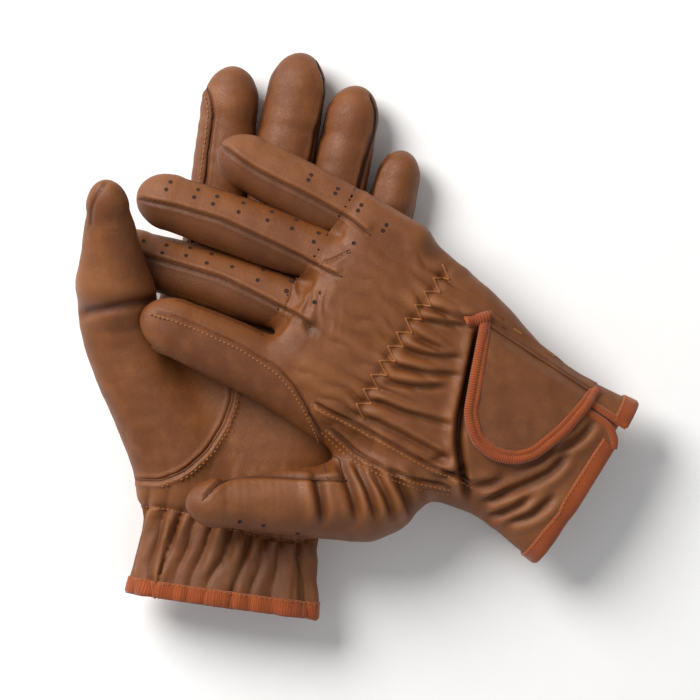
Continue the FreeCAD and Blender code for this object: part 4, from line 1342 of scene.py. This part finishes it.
    def pad(self, what, height, thick, kind, body):
        """A small rounded pad of hook or loop tape at the tab's middle, its top at a height over (u, v)."""
        corners = self.place.local(np.array([v.co for v in NODES[self.name("loop_pad")].data.vertices]))
        (cu, hu), (cv, hv) = middle_and_half(corners[:, 0]), middle_and_half(corners[:, 1])
        uv = [(cu, cv)]
        for r in np.linspace(0, 1, self.PAD_RINGS + 1)[1:]:
            for k in range(self.PAD_POINTS):
                angle = k * 2 * math.pi / self.PAD_POINTS
                c, s = math.cos(angle), math.sin(angle)
                along, across = (np.sign(x) * abs(x) ** self.PAD_SQUARE for x in (c, s))
                uv.append((cu + r * hu * along, cv + r * hv * across))
        uv = np.array(uv)
        w = height(uv[:, 0], uv[:, 1])
        made = slab(uv, w, w + thick, self.back, self.PAD_RINGS, self.PAD_POINTS)
        self.add(what, made, kind, body, (kind + "_pad",), kind + "_tape")

    def outward(self, count):
        return np.tile((0.0, 0.0, float(self.back)), (count, 1))

    def tab_root(self, path, root, height):
        """The allowance that sews the tab's root down to the side of the cuff, and the seam along it."""
        low, high = path[:, 0].min(), path[:, 0].max()
        rows, steps, drops = [], 48, (0.0, 0.3, 0.6, 0.85, 1.0)
        for u in np.linspace(low, high, steps):
            top = np.array([u, root + 0.2, (height(u, root) - 0.45) * self.back])
            foot, out = self.surface.nearest(top + np.array([0, -2.5, -5.0 * self.back]))
            rows += [top + (foot + out * 0.2 - top) * t for t in drops]
        points, k = np.array(rows), len(drops)
        faces = [[i * k + j, i * k + j + 1, (i + 1) * k + j + 1, (i + 1) * k + j]
                 for i in range(steps - 1) for j in range(k - 1)]
        faces = np.array(faces)[:, :: self.back]
        points, faces = closed_shell(points, vertex_normals(points, faces), faces, 0.4, 0.4)
        self.add("tab_root_strip", (points, faces.tolist()), "trim", "glove", (), "trim_leather")
        u, v = np.linspace(low + 1.5, high - 1.5, 60), np.full(60, root + 1.2)
        line = np.column_stack([u, v, (height(u, v) + 0.95) * self.back])
        seam = sweep(line, self.outward(60), oval(0.35, 0.3, 0, 8))
        self.add("tab_root_seam", seam, "seam", "tab", (), "tan_leather")

    def tab_edge(self, path, centre, root, height):
        """The tape folded over the tab's free edge, with its flat inner rim and its stitches."""
        free = path[path[:, 1] > root + 0.8]
        gap = int(np.argmax(np.linalg.norm(np.diff(np.vstack([free, free[:1]]), axis=0), axis=1)))
        free = np.roll(free, -gap - 1, 0)
        free = np.vstack([(free[0, 0] + 1.0, root - 1.5), free, (free[-1, 0] - 1.0, root - 1.5)])

        def edge_line(shift, lift):
            inward = centre - free
            inward /= np.linalg.norm(inward, axis=1, keepdims=True)
            at = free + inward * shift
            w = height(at[:, 0], at[:, 1]) + lift
            return np.column_stack([at, w * self.back]), self.outward(len(at))

        fat = ribbed(*edge_line(0.2, 0.35), oval(2.0, 1.5), 1.05, 0.07)
        flat = ribbed(*edge_line(2.9, 0.95), oval(1.15, 0.45), 1.05, 0.07)
        self.add("tab_tape", together([fat, flat]), "tape", "tab", ("tab_binding",), "orange_binding")
        p, n = (values[6:-6] for values in edge_line(2.0, 1.15))
        self.thread("tab_stitches", stitches(p, n, 1.5, 1.0, 0.2, 0.2), "tab")


def closed_resample(outline, count):
    loop = np.vstack([outline, outline[:1]])
    knots = np.concatenate([[0], np.cumsum(np.linalg.norm(np.diff(loop, axis=0), axis=1))])
    s = np.linspace(0, knots[-1], count + 1)[:-1]
    return np.stack([np.interp(s, knots, loop[:, k]) for k in (0, 1)], 1)


# ---------------------------------------------------------------- build
def seam_beads(glove, part, line, radius=0.38, piece_part=None):
    """A dark bead in the groove of a seam, standing in for the groove's shadow."""
    p, n = glove.surface.laid(line)
    bead = sweep(p, n, oval(radius, radius * 0.8, -0.05, 8))
    glove.add(f"{part}_seam", bead, "seam", piece_part or part, (), "tan_leather")


def perforations(glove, part, places, radius=0.75):
    holes = [punched(glove.surface, u, v, radius) for u, v in places]
    made = joined([hole for hole in holes if hole is not None])
    glove.add(f"{part}_perforations", made, "hole", part, (), "tan_leather")


def dress_right(glove):
    """Seams, holes, patch, stitches, gathers and tacks of the upper glove."""
    laid = glove.surface.laid
    for finger, line in RIGHT_SEAMS.items():
        seam_beads(glove, finger, line)
    for finger, pairs in HOLES.items():
        perforations(glove, finger, [(u, v) for u, *pair in pairs for v in pair])
    glove.patch(PATCH_LINE, ("index", "hand"), 106.0, 193.0)
    p, n = laid(Path2(PATCH_LINE).shifted(-1.7), lift=0.8)
    glove.thread("patch_stitches", stitches(p, n, 2.0, 1.25, 0.38), "hand")
    for label, line, shifts in (
        ("upper_seam", UPPER_SEAM, (-1.6,)),
        ("double_seam", DOUBLE_SEAM, (-1.6, -3.6)),
        ("dart", DART, (0.0,)),
    ):
        rows = [laid(Path2(line).shifted(s), lift=0.05) for s in shifts]
        glove.thread(label + "_stitches", joined([stitches(p, n, 2.1, 1.4) for p, n in rows]), "hand")
    path = Path2(RIGHT_SHIRR, ZIGZAG_STEP)
    teeth = [(u + (ZIGZAG_REACH if k % 2 else -ZIGZAG_REACH), v) for k, (u, v) in enumerate(path.uv)]
    lines = [laid(pair, 0.5, lift=0.15) for pair in zip(teeth[:-1], teeth[1:])]
    p, n = (np.concatenate([line[k] for line in lines]) for k in (0, 1))
    glove.thread("shirring", sweep(p, n, oval(0.45, 0.42, 0, 8)), "glove", ("shirring_thread",))
    seam_beads(glove, "thumb", THUMB_SEAM)
    seam_beads(glove, "quirk", QUIRK, 0.32, "hand")
    for label, line in (("upper", UPPER_SEAM), ("double", DOUBLE_SEAM)):
        seam_beads(glove, label, line, 0.34, "hand")
    perforations(glove, "thumb", THUMB_DOTS, 0.8)
    glove.lump("vent_fold", VENT_FOLD, 2.7, 2.2, 1.0, 0.3, "tape", "orange_binding")
    for k, (u, v) in enumerate(BARTACKS):
        line = [(u - 2.2, v), (u, v), (u + 2.2, v)]
        glove.lump(f"bartack_{k + 1}", line, 0.75, 0.3, 0.55, 0.05, "thread", "stitching_thread")
    glove.elastics([(RIGHT_SHIRR, 1), (PALM_ELASTIC, -1)])


def dress_left(glove):
    """Seams, patch, stitches and gathers of the lower glove."""
    laid = glove.surface.laid
    for finger, line in LEFT_SEAMS.items():
        seam_beads(glove, finger, line)
    glove.patch(LEFT_SEAMS["index"], ("index",), CUT_AT - 8, 216.0)
    p, n = laid(Path2(LEFT_SEAMS["index"]).shifted(-1.7)[3:], lift=0.8)
    glove.thread("patch_stitches", stitches(p, n, 2.2, 1.5, 0.38), "index")
    p, n = laid(THENAR)
    glove.add("thenar_seam", sweep(p, n, oval(0.6, 0.6, 0, 8)), "tan", "hand", (), "tan_leather")
    rows = [stitches(p, n, 2.1, 1.4, shift=s) for s in (1.6, 3.2)]
    glove.thread("thenar_stitches", joined(rows), "hand")
    p, n = laid(LEFT_SHIRR)
    glove.thread("shirring", stitches(p, n, 2.4, 1.8), "glove", ("shirring_thread",))
    glove.elastics([(LEFT_SHIRR, 1), (BACK_ELASTIC, -1)])


DRESS = {"left": dress_left, "right": dress_right}
for side in ("left", "right"):
    glove = Glove(side)
    glove.make_skins()
    DRESS[side](glove)
    glove.hem_binding()
    glove.vent_binding()
    glove.tab()


# ---------------------------------------------------------------- stage
def area(name, at, to, size, power, colour):
    light = bpy.data.lights.new(name, "AREA")
    light.shape, light.size, light.energy, light.color = "DISK", size, power, colour
    lamp = bpy.data.objects.new(name, light)
    bpy.context.scene.collection.objects.link(lamp)
    lamp.location = at
    lamp.rotation_mode = "QUATERNION"
    lamp.rotation_quaternion = (Vector(to) - Vector(at)).to_track_quat("-Z", "Y")


def stage():
    """A white sweep under soft lamps, and the camera straight above."""
    scene = bpy.context.scene
    floor = bpy.data.meshes.new("floor")
    corners = ((-8, -8), (8, -8), (8, 8), (-8, 8))
    floor.from_pydata([(x, y, LOWEST - 0.0001) for x, y in corners], [], [(0, 1, 2, 3)])
    paper = Nodes("paper")
    speck = paper.noise(paper.add("ShaderNodeTexCoord").outputs["Object"], 90.0)
    colour = paper.mix(speck, (0.93, 0.93, 0.93, 1), (0.96, 0.96, 0.96, 1))
    floor.materials.append(paper.finish(colour, 0.9, paper.bump(speck, 0.0001, 0.1), Specular_IOR_Level=0.1))
    made = bpy.data.objects.new("floor", floor)
    scene.collection.objects.link(made)
    world = bpy.data.worlds.new("studio")
    world.use_nodes = True
    sky = world.node_tree.nodes["Background"]
    sky.inputs["Color"].default_value = (1, 1, 1, 1)
    sky.inputs["Strength"].default_value = 0.31
    scene.world = world
    scene.view_settings.view_transform = "Standard"
    centre = (0.038, -0.007, 0.02)
    area("key", (-0.75, 0.75, 0.95), centre, 0.9, 27.5, (1.0, 0.98, 0.95))
    area("fill", (0.6, -0.9, 1.2), centre, 1.2, 3.0, (1.0, 1.0, 1.0))
    cam = bpy.data.cameras.new("camera")
    cam.sensor_width = 36.0
    distance, shown_width, shown_level = 2.0, 0.301, 0.02
    cam.lens = cam.sensor_width * (distance - shown_level) / shown_width
    camera = bpy.data.objects.new("camera", cam)
    camera.location = (0.03725, -0.005, distance)
    scene.collection.objects.link(camera)
    scene.camera = camera


stage()
